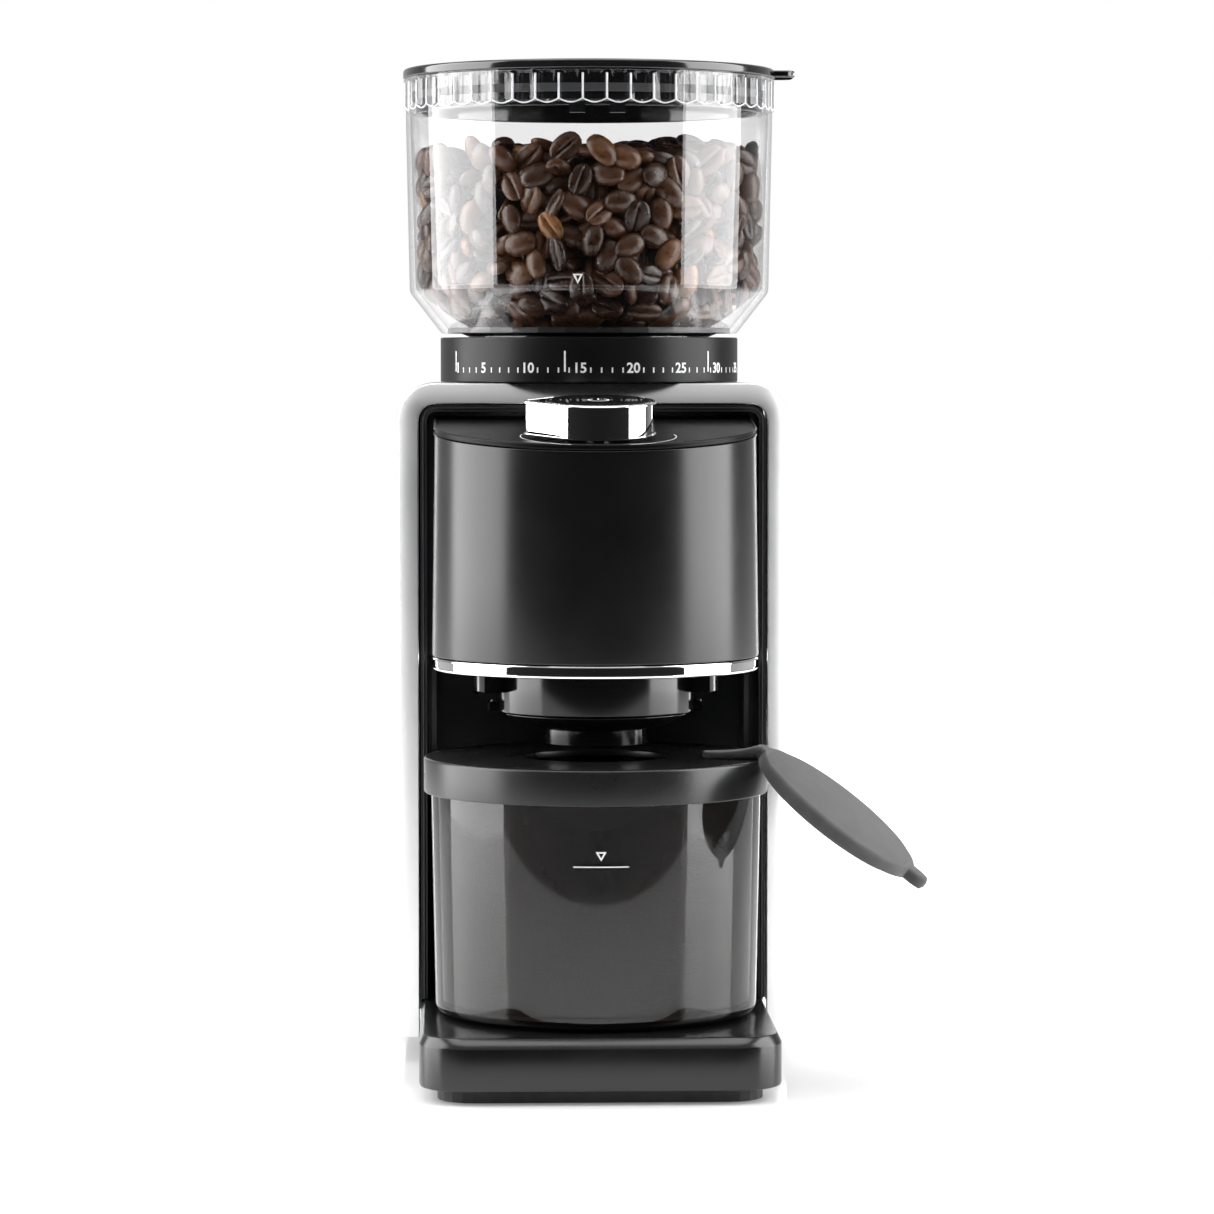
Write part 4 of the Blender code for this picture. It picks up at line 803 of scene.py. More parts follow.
def hopperCover():
    lid = hopperLid
    radius, high, skirt, skirtLow = lid["radius"], lid["high"], lid["skirt"], lid["skirtLow"]
    skirtIn = skirt - lid["skirtWall"]
    outline = softCorners([
        (0, high), (radius - 5 * mm, high), (radius, high - 0.3 * mm, lid["edge"]),
        (radius, lid["low"], 0.5 * mm), (skirt, lid["low"]), (skirt, skirtLow, 0.4 * mm),
        (skirtIn, skirtLow, 0.4 * mm), (skirtIn, high - lid["plate"]), (0, high - lid["plate"]),
    ], 5, closed=False)
    standsFor(lathe("hopperLid", outline, looks["gloss"], grindAxis, 192), "lid", "gloss_black", "hopper_lid")
    half, reach, corner = lid["tabHalf"], lid["tabReach"], lid["tabRound"]
    start = radius - 4 * mm
    rows = []
    tabLow, tabHigh = lid["low"] + 0.4 * mm, high - 0.6 * mm
    section = [(i, tabLow + d) for i, d in edgeProfile(lid["tabEdge"])]
    section += [(i, tabHigh - d) for i, d in edgeProfile(lid["tabEdge"])][::-1]
    for inset, z in section:
        r = max(corner - inset, 0.1 * mm)
        outline = [(start, -half + inset)] + arc(reach - corner, -half + corner, r, -pi / 2, 0, 8)
        outline += arc(reach - corner, half - corner, r, 0, pi / 2, 8) + [(start, half - inset)]
        rows.append([(x, y, z) for x, y in outline])
    standsFor(loft("hopperLidTab", rows, looks["gloss"], at=grindAxis), "lid", "gloss_black")
    half, low, high = lid["tongueHalf"] / skirt, skirtLow - lid["tongueDrop"], skirtLow + 1 * mm
    corners = ((skirt, low), (skirt, high), (skirtIn, high), (skirtIn, low))
    for number, angle in enumerate(lid["tongues"]):
        rows = []
        for step in range(lid["tongueSteps"] + 1):
            a = angle - half + 2 * half * step / lid["tongueSteps"]
            rows.append([(r * sin(a), -r * cos(a), z) for r, z in corners])
        standsFor(loft(f"hopperLidTongue{number}", rows, looks["gloss"], at=grindAxis), "lid", "gloss_black")


hopperWall()
fluteEdges()
hopperCover()
print("hopper made")

# coffee beans

beans = {
    "seed": 7, "count": 1500, "ball": 4.15 * mm, "rounds": 70, "level": 316 * mm, "layer": 9.5 * mm,
    "long": 5.9 * mm, "wide": 4.3 * mm, "thick": 3.1 * mm, "flat": 0.42,
    "crease": 1.35 * mm, "creaseWide": 0.55 * mm,
}


def beanLook():
    made, tree, shader = finish("roastedBean", (0.05, 0.022, 0.012), 0.34)
    tone = tree.nodes.new("ShaderNodeAttribute")
    tone.attribute_name = "tone"
    blotch = grain(tree, 420, 5, 0.65)
    mixed = node(tree, "ShaderNodeMath")
    mixed.operation = "MULTIPLY_ADD"
    mixed.inputs[1].default_value = 0.35
    tree.links.new(blotch, mixed.inputs[0])
    tree.links.new(tone.outputs["Fac"], mixed.inputs[2])
    coloured(
        tree, shader, mixed.outputs[0], (0.1, (0.004, 0.0015, 0.0008)), (0.4, (0.02, 0.0078, 0.0036)),
        (0.75, (0.075, 0.029, 0.011)), (1.0, (0.34, 0.15, 0.045)),
    )
    tree.links.new(between(tree, blotch, 0.22, 0.42), shader.inputs["Roughness"])
    bumpy(tree, shader, grain(tree, 900, 4), 0.5, 0.15 * mm)
    return made


def beanShape():  # long axis X, flat creased side down
    around = [radians(a) for a in (-90, -78, -66, -45, -20, 5, 35, 65, 90, 115, 145, 175, 200, 225, 246, 258)]
    rings, points, faces = 9, [], []
    for ring in range(1, rings):
        lat = pi * ring / rings
        for a in around:
            x, r = cos(lat), sin(lat) ** 0.85
            y, z = r * cos(a), r * sin(a)
            if z < 0:
                dent = np.exp(-((y * beans["wide"] / beans["creaseWide"]) ** 2))
                z = z * beans["flat"] + (beans["crease"] / beans["thick"]) * dent * r
            points.append((x * beans["long"], y * beans["wide"], z * beans["thick"]))
    count = len(around)
    for ring in range(rings - 2):
        for i in range(count):
            j = (i + 1) % count
            faces.append((ring * count + i, ring * count + j, (ring + 1) * count + j, (ring + 1) * count + i))
    points += [(beans["long"], 0, 0), (-beans["long"], 0, 0)]
    tip, tail = len(points) - 2, len(points) - 1
    last = (rings - 2) * count
    for i in range(count):
        j = (i + 1) % count
        faces.append((tip, j, i))
        faces.append((tail, last + i, last + j))
    return np.array(points), faces


def hopperInside(z):  # radius of the space for beans at a height
    wall = hopper["wall"] + 0.5 * mm
    shoulder, foot = hopper["foot"] + hopper["cone"] + 1 * mm, hopper["foot"] + 1.9 * mm
    lowR, highR = hopper["heapFoot"], hopper["radius"] - hopper["taper"] - wall
    t = np.clip((z - foot) / (shoulder - foot), 0, 1)
    up = np.clip((z - shoulder) / (hopper["top"] - shoulder), 0, 1)
    return lowR + (highR - lowR) * t ** 0.8 + hopper["taper"] * up


def packBeans():
    rng = np.random.default_rng(beans["seed"])
    floor, level, ball = hopper["foot"] + 3 * mm, beans["level"], beans["ball"]
    z = floor + (level - floor) * rng.random(beans["count"]) ** 0.92
    angle, spread = rng.random(beans["count"]) * 2 * pi, np.sqrt(rng.random(beans["count"]))
    radius = (hopperInside(z) - ball) * spread
    spots = np.stack([radius * np.cos(angle), radius * np.sin(angle), z], axis=1)
    for _ in range(beans["rounds"]):
        push = np.zeros_like(spots)
        for start in range(0, len(spots), 300):
            gap = spots[start:start + 300, None, :] - spots[None, :, :]
            distance = np.sqrt((gap ** 2).sum(axis=2)) + 1e-9
            close = np.clip(2 * ball - distance, 0, None)
            close[distance < 1e-8] = 0
            push[start:start + 300] = (gap / distance[:, :, None] * close[:, :, None]).sum(axis=1)
        spots += 0.32 * push
        spots[:, 2] = np.clip(spots[:, 2], floor, None)
        mound = level + 4 * mm * np.sin(spots[:, 0] / (21 * mm)) * np.cos(spots[:, 1] / (17 * mm))
        spots[:, 2] = np.minimum(spots[:, 2], mound)
        limit = hopperInside(spots[:, 2]) - ball * 0.82
        out = np.hypot(spots[:, 0], spots[:, 1])
        scale = np.minimum(1, limit / np.maximum(out, 1e-9))
        spots[:, :2] *= scale[:, None]
    return spots, rng


def coffeeBeans():
    spots, rng = packBeans()
    out = np.hypot(spots[:, 0], spots[:, 1])
    wallSpace = hopperInside(spots[:, 2]) - beans["ball"] - out
    nearWall = wallSpace < beans["layer"]
    nearTop = spots[:, 2] > beans["level"] - beans["layer"]
    shown = np.nonzero(nearWall | nearTop)[0]
    shape, faces = beanShape()
    points, allFaces, tones = [], [], []
    for index in shown:
        spot = spots[index]
        if wallSpace[index] < 3 * mm:
            normal = Vector((spot[0], spot[1], 0)).normalized()
        elif nearTop[index]:
            normal = Vector((0, 0, 1))
        else:
            normal = Vector(rng.normal(size=3)).normalized()
        normal = (normal + Vector(rng.normal(size=3)) * 0.33).normalized()
        if rng.random() < 0.5:
            normal = -normal
        spin = Matrix.Rotation(rng.random() * 2 * pi, 3, "Z")
        turn = np.array(normal.to_track_quat("Z", "Y").to_matrix() @ spin)
        size = 0.9 + 0.22 * rng.random()
        start = len(points) * len(shape)
        points.append(shape * size @ turn.T + spot)
        allFaces += [tuple(start + i for i in face) for face in faces]
        tone = 0.18 + 0.42 * rng.random() + (0.3 if rng.random() < 0.06 else 0)
        tones.append(np.full(len(shape), tone, dtype=np.float32))
    points = np.concatenate(points)
    out = np.hypot(points[:, 0], points[:, 1])
    limit = hopperInside(points[:, 2]) + 0.3 * mm
    points[:, :2] *= np.minimum(1, limit / np.maximum(out, 1e-9))[:, None]
    mesh = bpy.data.meshes.new("coffeeBeans")
    mesh.from_pydata(points.tolist(), [], allFaces)
    mesh.attributes.new("tone", "FLOAT", "POINT").data.foreach_set("value", np.concatenate(tones))
    heap = link("coffeeBeans", mesh, beanLook(), grindAxis)
    mesh.set_sharp_from_angle(angle=radians(80))
    standsFor(heap, "hopper")
    core = hopper["radius"] - hopper["wall"] - beans["layer"] - 3 * mm
    low, high = hopper["foot"] + 8 * mm, beans["level"] - beans["layer"]
    outline = [
        (0, high), (core - 3 * mm, high), (core, high - 4 * mm), (core - 2 * mm, low + 12 * mm),
        (core - 14 * mm, low), (0, low),
    ]
    inside = lathe("beanCore", outline, beanLook(), grindAxis, 48)
    standsFor(inside, "hopper")
    print(len(shown), "beans placed")


coffeeBeans()

# grounds jar

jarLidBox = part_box("jar_lid")
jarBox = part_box("grounds_jar")
jarAxis = ((jarLidBox[0][0] + jarLidBox[1][0]) / 2, (jarLidBox[0][1] + jarLidBox[1][1]) / 2, 0)
jar = {
    "radius": jarBox[1][0], "foot": jarBox[1][0] - 1.5 * mm, "wall": 2.2 * mm,
    "low": jarBox[0][2], "high": jarBox[1][2], "footRound": 3.5 * mm,
    "lidRadius": jarLidBox[1][0], "lidLow": jarLidBox[0][2], "lidHigh": jarLidBox[1][2],
    "lidWall": 1.8 * mm, "lidPlate": 2.5 * mm, "hole": 25 * mm, "lidEdge": 1 * mm,
    "fillLine": 77.5 * mm, "fillHalf": 9.2 * mm, "fillWeight": 0.35 * mm, "fillSteps": 12,
    "arrowAbove": 5 * mm,
    "arrow": {"size": 3.6 * mm, "line": 0.5 * mm, "tall": 0.85, "side": 1.8, "tip": 1.9},
}


def jarShell():
    radius, foot, wall, low, high = jar["radius"], jar["foot"], jar["wall"], jar["low"], jar["high"]
    outline = softCorners([
        (0, low + 0.6 * mm), (foot - 14 * mm, low + 0.6 * mm), (foot - 9 * mm, low, 1 * mm),
        (foot, low, jar["footRound"]),
        (radius, high, 0.5 * mm), (radius - wall, high, 0.5 * mm), (foot - wall, low + 2.6 * mm, 3 * mm),
        (0, low + 2.6 * mm),
    ], 7, closed=False)
    shell = lathe("jarShell", outline, looks["smoked"], jarAxis, 192)
    standsFor(shell, "jar", "smoked_plastic", "grounds_jar")
    wallAt = radius - 0.4 * mm
    half, weight, steps = jar["fillHalf"] / wallAt, jar["fillWeight"] / 2, jar["fillSteps"]
    points, faces = [], []
    for step in range(steps + 1):
        angle = -half + 2 * half * step / steps
        points += [(angle, jar["fillLine"] - weight), (angle, jar["fillLine"] + weight)]
    for step in range(steps):
        faces.append((2 * step, 2 * step + 2, 2 * step + 3, 2 * step + 1))
    arrow = openTriangle(0, jar["fillLine"] + jar["arrowAbove"], wallAt, jar["arrow"])
    joinMarks("fillMark", [(points, faces), arrow], wallAt, "jar", jarAxis)


def jarCover():
    radius, low, high, wall = jar["lidRadius"], jar["lidLow"], jar["lidHigh"], jar["lidWall"]
    outline = softCorners([
        (jar["hole"], high, 0.6 * mm), (radius, high, jar["lidEdge"]), (radius, low, 0.4 * mm),
        (radius - wall, low, 0.3 * mm), (radius - wall, high - jar["lidPlate"]),
        (jar["hole"], high - jar["lidPlate"], 0.4 * mm),
    ], 5)
    standsFor(lathe("jarCover", outline, looks["jarLid"], jarAxis, 192), "jar", "satin_black", "jar_lid")


grounds = {
    "radius": jar["radius"] - jar["wall"] - 0.35 * mm, "foot": jar["foot"] - jar["wall"] - 0.35 * mm,
    "low": jar["low"] + 2.9 * mm, "high": 98 * mm, "rows": 60, "topRows": 14, "steps": 256,
    "dipLow": 63.5 * mm, "dipHalf": 27.5 * mm, "dipDepth": 40 * mm, "lump": 0.5 * mm, "heapDrop": 14 * mm,
}


def groundsLook():
    made, tree, shader = finish("groundCoffee", (0.03, 0.017, 0.011), 0.9)
    speck = grain(tree, 1100, 6, 0.75)
    cloud = grain(tree, 45, 3)
    mixed = node(tree, "ShaderNodeMath")
    mixed.operation = "MULTIPLY_ADD"
    mixed.inputs[1].default_value = 0.6
    tree.links.new(speck, mixed.inputs[0])
    tree.links.new(between(tree, cloud, 0.12, 0.28), mixed.inputs[2])
    coloured(
        tree, shader, mixed.outputs[0], (0.3, (0.006, 0.003, 0.002)), (0.55, (0.026, 0.013, 0.008)),
        (0.8, (0.085, 0.044, 0.026)),
    )
    bumpy(tree, shader, speck, 0.7, 0.5 * mm)
    return made


def coffeeGrounds():
    g = grounds
    profile = [(0, g["low"])]
    for row in range(g["rows"] + 1):
        t = row / g["rows"]
        profile.append((g["foot"] + (g["radius"] - g["foot"]) * t, g["low"] + (g["high"] - g["low"]) * t))
    for row in range(1, g["topRows"]):
        t = row / g["topRows"]
        profile.append((g["radius"] * (1 - t), g["high"] - 0.01 * mm - g["heapDrop"] * sin(pi / 2 * t)))
    profile.append((0, g["high"] - g["heapDrop"]))

    def hollowed(r, z, angle):
        x = jar["radius"] * cos(angle)
        if sin(angle) > 0 or r < g["foot"] - 1 * mm:
            return r
        edge = g["dipLow"] + (g["high"] - g["dipLow"]) * abs(x / g["dipHalf"]) ** 2.6
        above = (z - edge) / (3 * mm)
        lump = g["lump"] * sin(angle * 61 + z * 2100) * sin(z * 1700 + angle * 37)
        inward = min(max(above, 0), 1)
        return r - inward * (g["dipDepth"] * min(1, 0.3 + 0.12 * above) + lump)

    heap = lathe("coffeeGrounds", profile, groundsLook(), jarAxis, g["steps"], closed=False, warp=hollowed)
    standsFor(heap, "jar")


looks["jarLid"] = mouldedBlack(
    "jarLidBlack", (0.007, 0.007, 0.0072), (0.010, 0.010, 0.0102), (0.26, 0.32), 2400, 0.06,
)
jarShell()
jarCover()
coffeeGrounds()
print("grounds jar made")

# rubber flap, open over the lid's edge

flap = {
    "bearing": radians(-16), "droop": radians(38), "radius": 31.5 * mm, "centre": 33 * mm, "thick": 4.4 * mm,
    "neck": 10 * mm, "tab": 5 * mm, "tabEnd": 71.5 * mm, "lip": 24.6 * mm, "lipWall": 1.8 * mm,
    "lipTop": -0.5 * mm, "lipLow": -3.8 * mm, "lipEdge": 0.7 * mm,
    "hinge": (55.27 * mm, -47.85 * mm, 112.3 * mm), "crown": 1.2 * mm, "sections": 90, "sides": 24,
    "strapLong": 20 * mm, "strapThick": 2.2 * mm, "strapSteps": 22, "bend": 4 * mm,
}


def flapHalfWidth(along):  # half width of the flap at a distance from its hinge
    disc = sqrt(max(flap["radius"] ** 2 - (along - flap["centre"]) ** 2, 0))
    neck = flap["neck"] / 2 if along < flap["centre"] else 0
    tab = 0.0
    if along > flap["centre"]:
        end = flap["tabEnd"] - along
        tab = flap["tab"] if end > flap["tab"] else sqrt(max(flap["tab"] ** 2 - (flap["tab"] - end) ** 2, 0))
    square = (disc ** 4 + max(neck, tab) ** 4) ** 0.25
    return max(square, 0.05 * mm)


def flapSection(along, half, thick):  # a flat oval across the strap
    loop = []
    for step in range(flap["sides"]):
        angle = 2 * pi * step / flap["sides"]
        side = 1 if cos(angle) > 0 else -1
        up = 1 if sin(angle) > 0 else -1
        roundness = min(thick / 2, half)
        y = side * (half - roundness) + roundness * cos(angle)
        loop.append((along, y, thick / 2 * up * abs(sin(angle)) ** 0.7))
    return loop


def fillFlap():
    stations = [0.0]
    while stations[-1] < flap["tabEnd"] - 0.3 * mm:
        stations.append(stations[-1] + flap["tabEnd"] / flap["sections"])
    stations = [s for s in stations if s < flap["tabEnd"]] + [flap["tabEnd"] - 0.05 * mm]
    rows = []
    for along in stations:
        half = flapHalfWidth(along)
        middle = min(abs(along - flap["centre"]) / flap["lip"], 1)
        thin = 1 if half > 2 * mm else max(half / (2 * mm), 0.25)
        rows.append(flapSection(along, half, (flap["thick"] + flap["crown"] * sqrt(1 - middle ** 2)) * thin))
    turned = Matrix.Translation(flap["hinge"]) @ Matrix.Rotation(flap["bearing"], 4, "Z")
    turned = turned @ Matrix.Rotation(flap["droop"], 4, "Y")
    rows = [[tuple(turned @ Vector(p)) for p in row] for row in rows]
    # the strap runs back along the lid from the hinge
    strap = []
    start = flap["hinge"]
    out = Vector((cos(flap["bearing"]), sin(flap["bearing"]), 0))
    side = Vector((-sin(flap["bearing"]), cos(flap["bearing"]), 0))
    lidTop = jar["lidHigh"] + 0.15 * mm
    length, thick = flap["strapLong"], flap["strapThick"]
    for step in range(flap["strapSteps"]):
        t = step / flap["strapSteps"]
        along = -length * (1 - t)
        fromRoot = along + length
        half = flap["neck"] / 2
        if fromRoot < half:
            half = sqrt(max(half ** 2 - (half - fromRoot) ** 2, (0.3 * mm) ** 2))
        middle = Vector(start) + out * along
        middle.z = lidTop + thick / 2 + (start[2] - lidTop - thick / 2) * t ** 3
        loop = flapSection(0, half, thick + (flap["thick"] - thick) * t ** 3)
        strap.append([tuple(middle + side * y + Vector((0, 0, 1)) * z) for _, y, z in loop])
    flapPiece = loft("fillFlap", strap + rows, looks["rubber"])
    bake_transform(flapPiece)
    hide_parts("fill_flap", "flap_strap")
    lipOut, lipIn, lipLow = flap["lip"], flap["lip"] - flap["lipWall"], flap["lipLow"]
    lipOutline = softCorners([
        (lipOut, flap["lipTop"]), (lipOut, lipLow, flap["lipEdge"]), (lipIn, lipLow, flap["lipEdge"]),
        (lipIn, flap["lipTop"]),
    ], 4)
    centre = turned @ Vector((flap["centre"], 0, 0))
    lip = lathe("flapLip", lipOutline, looks["rubber"], tuple(centre), 96, turn=turned.to_euler())
    standsFor(lip, "flap", "rubber")


fillFlap()
print("flap made")

# portafilter cradle and spout

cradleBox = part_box("portafilter_cradle")
cradle = {
    "radius": 33.7 * mm, "wall": 2.7 * mm, "low": cradleBox[0][2], "high": cradleBox[1][2],
    "reach": cradleBox[1][0], "spread": radians(24), "edge": 0.5 * mm,
}
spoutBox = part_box("spout")
spout = {"radius": 17.3 * mm, "wall": 2.3 * mm, "low": spoutBox[0][2], "high": spoutBox[1][2], "lip": 6 * mm}


def sectorRows(inner, outer, middle, half, low, high, edge):
    rows = []
    for inset, z in [(edge, low), (0, low + edge), (0, high - edge), (edge, high)]:
        rOut, rIn, reach = outer - inset, inner + inset, half - inset / outer
        outline = arc(0, 0, rOut, middle - reach, middle + reach, 16)
        outline += arc(0, 0, rIn, middle + reach, middle - reach, 16)
        rows.append([(x, y, z) for x, y in outline])
    return rows


def portafilterCradle():
    radius, wall, low, high = cradle["radius"], cradle["wall"], cradle["low"], cradle["high"]
    outline = softCorners([
        (radius, high), (radius, low, cradle["edge"]), (radius - wall, low, cradle["edge"]),
        (radius - wall, high),
    ], 4)
    ring = lathe("cradleRing", outline, looks["cradle"], jarAxis, 160)
    standsFor(ring, "root", "satin_black", "portafilter_cradle")
    spread, reach = cradle["spread"], cradle["reach"]
    parts = (
        ("Arm", radius - 1 * mm, reach, spread, low + 7 * mm, high - 0.1 * mm),
        ("Pin", reach - 1.8 * mm, reach - 0.2 * mm, spread / 6, low + 5.5 * mm, low + 8 * mm),
        ("Hook", radius - 1 * mm, radius + 3.2 * mm, spread / 2, low + 0.1 * mm, low + 3.5 * mm),
    )
    nubOutline = [(0, 0.9 * mm), (0.8 * mm, 0.6 * mm), (1 * mm, 0), (1 * mm, -1 * mm), (0, -1 * mm)]
    for side, middle in (("Right", 0), ("Left", pi)):
        for kind, inner, outer, half, partLow, partHigh in parts:
            rows = sectorRows(inner, outer, middle, half, partLow, partHigh, 0.35 * mm)
            standsFor(loft(f"cradle{kind}{side}", rows, looks["cradle"], at=jarAxis), "root", "satin_black")
        at = (cos(middle) * (radius + 1.2 * mm), jarAxis[1] - 6 * mm, low + 3.5 * mm)
        nub = lathe(f"cradleNub{side}", nubOutline, looks["satin"], at, 24, closed=False)
        standsFor(nub, "root", "satin_black")


def groundsSpout():
    radius, wall, low, high = spout["radius"], spout["wall"], spout["low"], spout["high"]
    lip = low + spout["lip"]
    bowl = cradle["radius"] * 0.71
    rim = cradle["low"] - 0.3 * mm
    outline = softCorners([
        (radius, low, 0.6 * mm), (radius, lip, 0.8 * mm), (bowl, lip + 0.6 * mm, 3 * mm),
        (cradle["radius"] - 0.7 * mm, rim, 0.3 * mm),
        (cradle["radius"] - cradle["wall"] - 0.5 * mm, rim, 0.3 * mm),
        (cradle["radius"] * 0.66, lip + 2.4 * mm, 2 * mm), (radius, lip + 2 * mm), (radius, high),
        (radius - wall, high), (radius - wall, low, 0.6 * mm),
    ], 5)
    standsFor(lathe("groundsSpout", outline, looks["cradle"], jarAxis, 144), "root", "satin_black", "spout")


looks["cradle"] = mouldedBlack(
    "cradleBlack", (0.003, 0.003, 0.0032), (0.005, 0.005, 0.0052), (0.12, 0.16), 2200, 0.03,
)
portafilterCradle()
groundsSpout()
print("cradle and spout made")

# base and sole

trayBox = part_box("base_tray")
base = {
    "half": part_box("base_plate")[1][0] + 2.8 * mm, "front": trayBox[0][1], "back": trayBox[1][1],
    "low": trayBox[0][2], "high": trayBox[1][2], "shoulder": trayBox[1][2] - 3 * mm,
    "corner": 16 * mm, "backCorner": 3 * mm, "chamfer": 4 * mm, "sideChamfer": 1.5 * mm, "edge": 0.45 * mm,
}


def baseLoop(side, front, z):
    half = base["half"] - side
    low, high = max(base["corner"] - front, 1 * mm), max(base["backCorner"] - side, 0.5 * mm)
    outline = rounded(-half, base["front"] + front, half, base["back"] - side, low, high, 20)
    return [(x, y, z) for x, y in outline]


def baseTray():
    edge, low, high, shoulder = base["edge"], base["low"], base["high"], base["shoulder"]
    front, side = base["chamfer"], base["sideChamfer"]
    rows = [
        baseLoop(1.2 * mm, 1.2 * mm, low), baseLoop(0.3 * mm, 0.3 * mm, low + 0.35 * mm),
        baseLoop(0, 0, low + 1.2 * mm), baseLoop(0, 0, shoulder - edge),
        baseLoop(0.1 * edge, 0.35 * edge, shoulder), baseLoop(side * 0.93, front * 0.9, high - 0.28 * mm),
        baseLoop(side, front, high - 0.08 * mm), baseLoop(side + edge, front + edge, high),
    ]
    tray = loft("baseTray", rows, looks["base"])
    standsFor(tray, "root", "satin_black", "base_tray", "base_plate")


looks["base"] = mouldedBlack(
    "baseBlack", (0.004, 0.004, 0.0042), (0.006, 0.006, 0.0062), (0.2, 0.26), 2400, 0.04,
)
baseTray()
softEdges(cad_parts["rubber_sole"], 0.8 * mm)
print("base made")

# pieces that keep their own shape

ownShape = {
    "hopper_floor": "satin", "niche_liner": "matt", "rear_cover": "satin", "cord_gland": "rubber",
    "rubber_sole": "rubber", "chute": "satin", "adjusting_ring": "satin",
    "lid_seal": "rubber", "jar_seal": "rubber",
    "head_floor": "matt", "rear_frame_bar": "matt", "timer_switch": "matt", "control_board": "board",
    "power_board": "board", "hopper_switch": "matt", "grind_chamber": "matt", "burr_carrier": "matt",
    "ring_burr": "machined", "cone_burr": "machined", "burr_shaft": "machined", "burr_nut": "machined",
    "sweeper": "nylon", "upper_bearing": "bronze", "lower_bearing": "bronze", "gearbox_case": "nylon",
    "gearbox_cover": "nylon", "drive_gear": "nylon", "motor_pinion": "machined", "motor_can": "machined",
    "motor_end_cap": "matt", "armature": "bronze", "motor_shaft": "machined", "motor_spacer": "rubber",
    "motor_stand": "matt",
}
for name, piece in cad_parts.items():
    look = ownShape.get(name) or ("machined" if "screw" in name else None)
    if look is None:
        continue
    piece.data.materials.clear()
    piece.data.materials.append(looks[look])
print("inner pieces finished")

# floor and light

floorLevel = cadBox[0][2]
studio = {
    "floorReach": 3, "floorFront": 0.5,  # it stops short in front, so nothing bright stands there
    "glow": (0.1, 1.2), "glowFrom": (0.12, 0.75),
}


def floorLook():
    made, tree, shader = finish("paleFloor", (0.93, 0.93, 0.93), 0.12)
    shader.inputs["Emission Color"].default_value = (1, 1, 1, 1)
    cloud = grain(tree, 3, 2)
    far = node(tree, "ShaderNodeVectorMath")
    far.operation = "LENGTH"
    tree.links.new(place(tree), far.inputs[0])
    glow = node(tree, "ShaderNodeMapRange")
    glow.interpolation_type = "SMOOTHSTEP"
    glow.inputs["From Min"].default_value, glow.inputs["From Max"].default_value = studio["glowFrom"]
    glow.inputs["To Min"].default_value, glow.inputs["To Max"].default_value = studio["glow"]
    tree.links.new(far.outputs["Value"], glow.inputs["Value"])
    path = tree.nodes.new("ShaderNodeLightPath")
    seen = tree.nodes.new("ShaderNodeMix")
    seen.inputs["A"].default_value = studio["glow"][0]
    tree.links.new(path.outputs["Is Camera Ray"], seen.inputs["Factor"])
    tree.links.new(glow.outputs["Result"], seen.inputs["B"])
    tree.links.new(seen.outputs["Result"], shader.inputs["Emission Strength"])
    coloured(tree, shader, cloud, (0.3, (0.92, 0.92, 0.92)), (0.7, (0.94, 0.94, 0.94)))
    tree.links.new(between(tree, cloud, 0.09, 0.12), shader.inputs["Roughness"])
    return made


def studioFloor():
    reach, front = studio["floorReach"], studio["floorFront"]
    mesh = bpy.data.meshes.new("studioFloor")
    corners = ((-reach, -front), (reach, -front), (reach, reach), (-reach, reach))
    mesh.from_pydata([(x, y, floorLevel) for x, y in corners], [], [(0, 1, 2, 3)])
    mesh.materials.append(floorLook())
    floor = bpy.data.objects.new("studioFloor", mesh)
    scene.collection.objects.link(floor)


def areaLight(name, at, aim, width, height, power):
    data = bpy.data.lights.new(name, "AREA")
    data.shape = "RECTANGLE"
    data.size, data.size_y = width, height
    data.energy = power
    light = bpy.data.objects.new(name, data)
    scene.collection.objects.link(light)
    light.location = at
    light.rotation_euler = (Vector(aim) - Vector(at)).to_track_quat("-Z", "Y").to_euler()
    return light


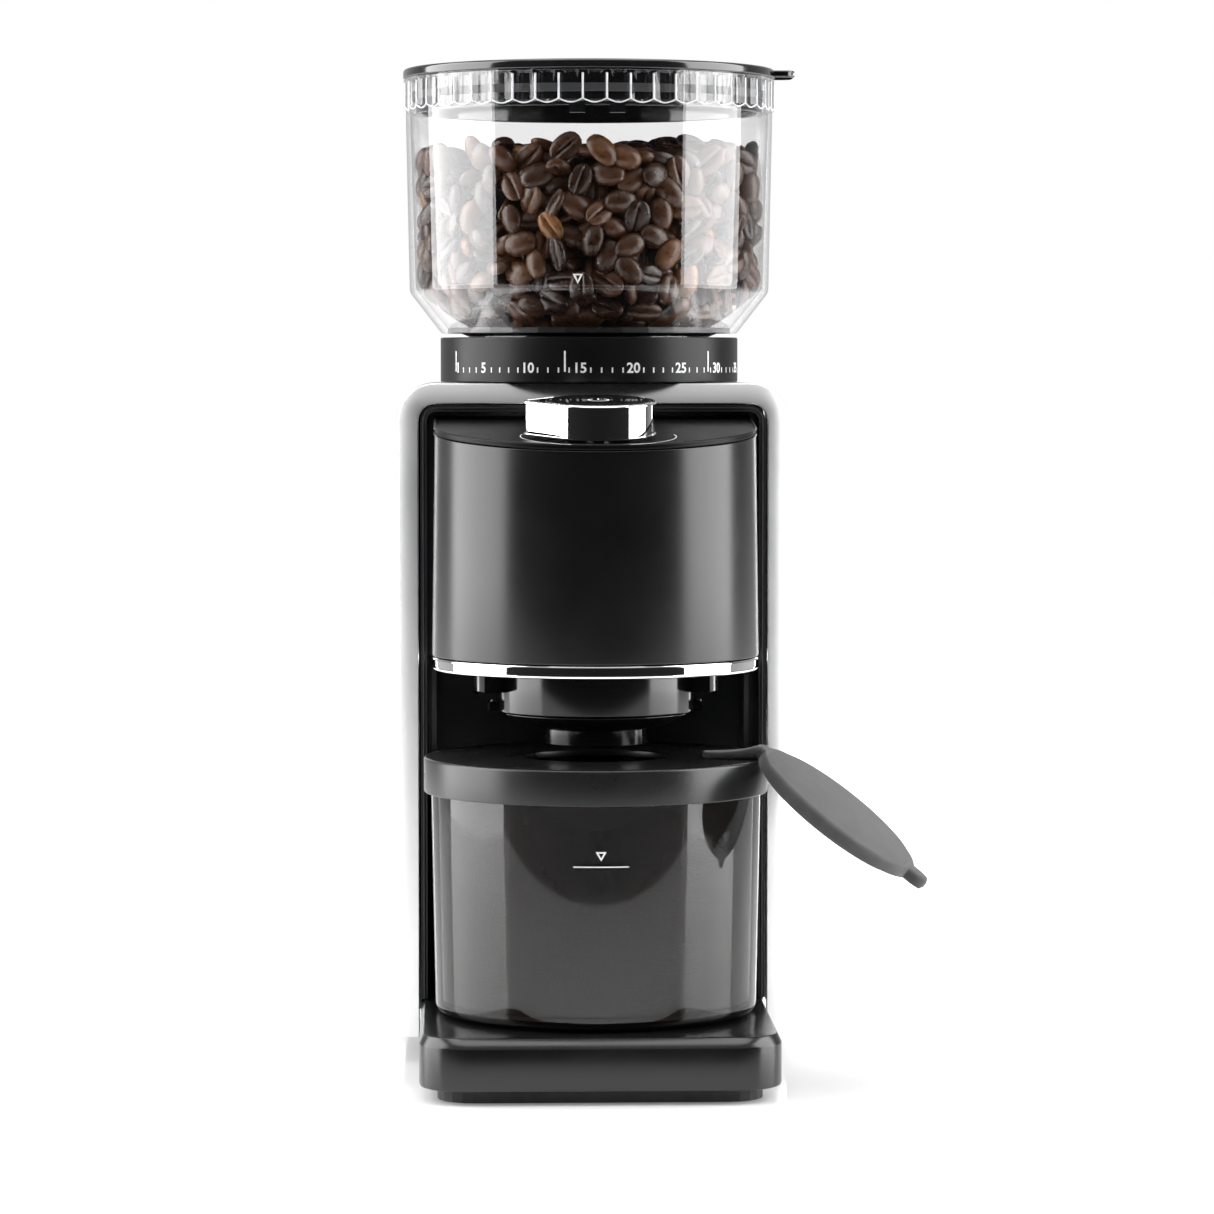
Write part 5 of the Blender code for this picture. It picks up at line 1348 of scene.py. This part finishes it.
def studioWorld():
    world = bpy.data.worlds.new("studioWorld")
    scene.world = world
    world.use_nodes = True
    tree = world.node_tree
    background = tree.nodes["Background"]
    path = tree.nodes.new("ShaderNodeLightPath")
    where = tree.nodes.new("ShaderNodeTexCoord")
    split = tree.nodes.new("ShaderNodeSeparateXYZ")
    tree.links.new(where.outputs["Generated"], split.inputs[0])
    spread = node(tree, "ShaderNodeMapRange")
    spread.inputs["From Min"].default_value = -1
    tree.links.new(split.outputs["Y"], spread.inputs["Value"])
    shade = shades(
        tree, spread.outputs["Result"], (0.0, (0.012, 0.012, 0.012)), (0.5, (0.03, 0.03, 0.03)),
        (0.7, (0.12, 0.12, 0.12)), (1.0, (0.5, 0.5, 0.5)),
    )
    above = node(tree, "ShaderNodeMapRange")
    above.inputs["From Min"].default_value = 0.35
    above.inputs["From Max"].default_value = 0.7
    above.inputs["To Max"].default_value = 0.5
    tree.links.new(split.outputs["Z"], above.inputs["Value"])
    lighter = tree.nodes.new("ShaderNodeMix")
    lighter.data_type = "RGBA"
    lighter.blend_type = "LIGHTEN"
    lighter.inputs["Factor"].default_value = 1
    tree.links.new(shade, lighter.inputs[6])
    tree.links.new(above.outputs["Result"], lighter.inputs[7])
    mixed = tree.nodes.new("ShaderNodeMix")
    mixed.data_type = "RGBA"
    tree.links.new(path.outputs["Is Camera Ray"], mixed.inputs["Factor"])
    tree.links.new(lighter.outputs[2], mixed.inputs[6])
    mixed.inputs[7].default_value = (1, 1, 1, 1)
    tree.links.new(mixed.outputs[2], background.inputs["Color"])
    background.inputs["Strength"].default_value = 1.0


studioFloor()
studioWorld()
areaLight("leftSoftbox", (-0.95, 0.06, 0.5), (0, 0.06, 0.35), 1.05, 1.5, 29)
areaLight("rightSoftbox", (0.95, -0.1, 0.5), (0, -0.02, 0.35), 0.85, 1.5, 24)
areaLight("topSoftbox", (0, 0.1, 1.6), (0, 0, 0), 1.2, 1.2, 16)
fill = areaLight("frontFill", (-0.3, -1.6, 1.2), (0, 0, 0.15), 1.2, 1.2, 9)
fill.visible_glossy = False
print("floor and lights set")
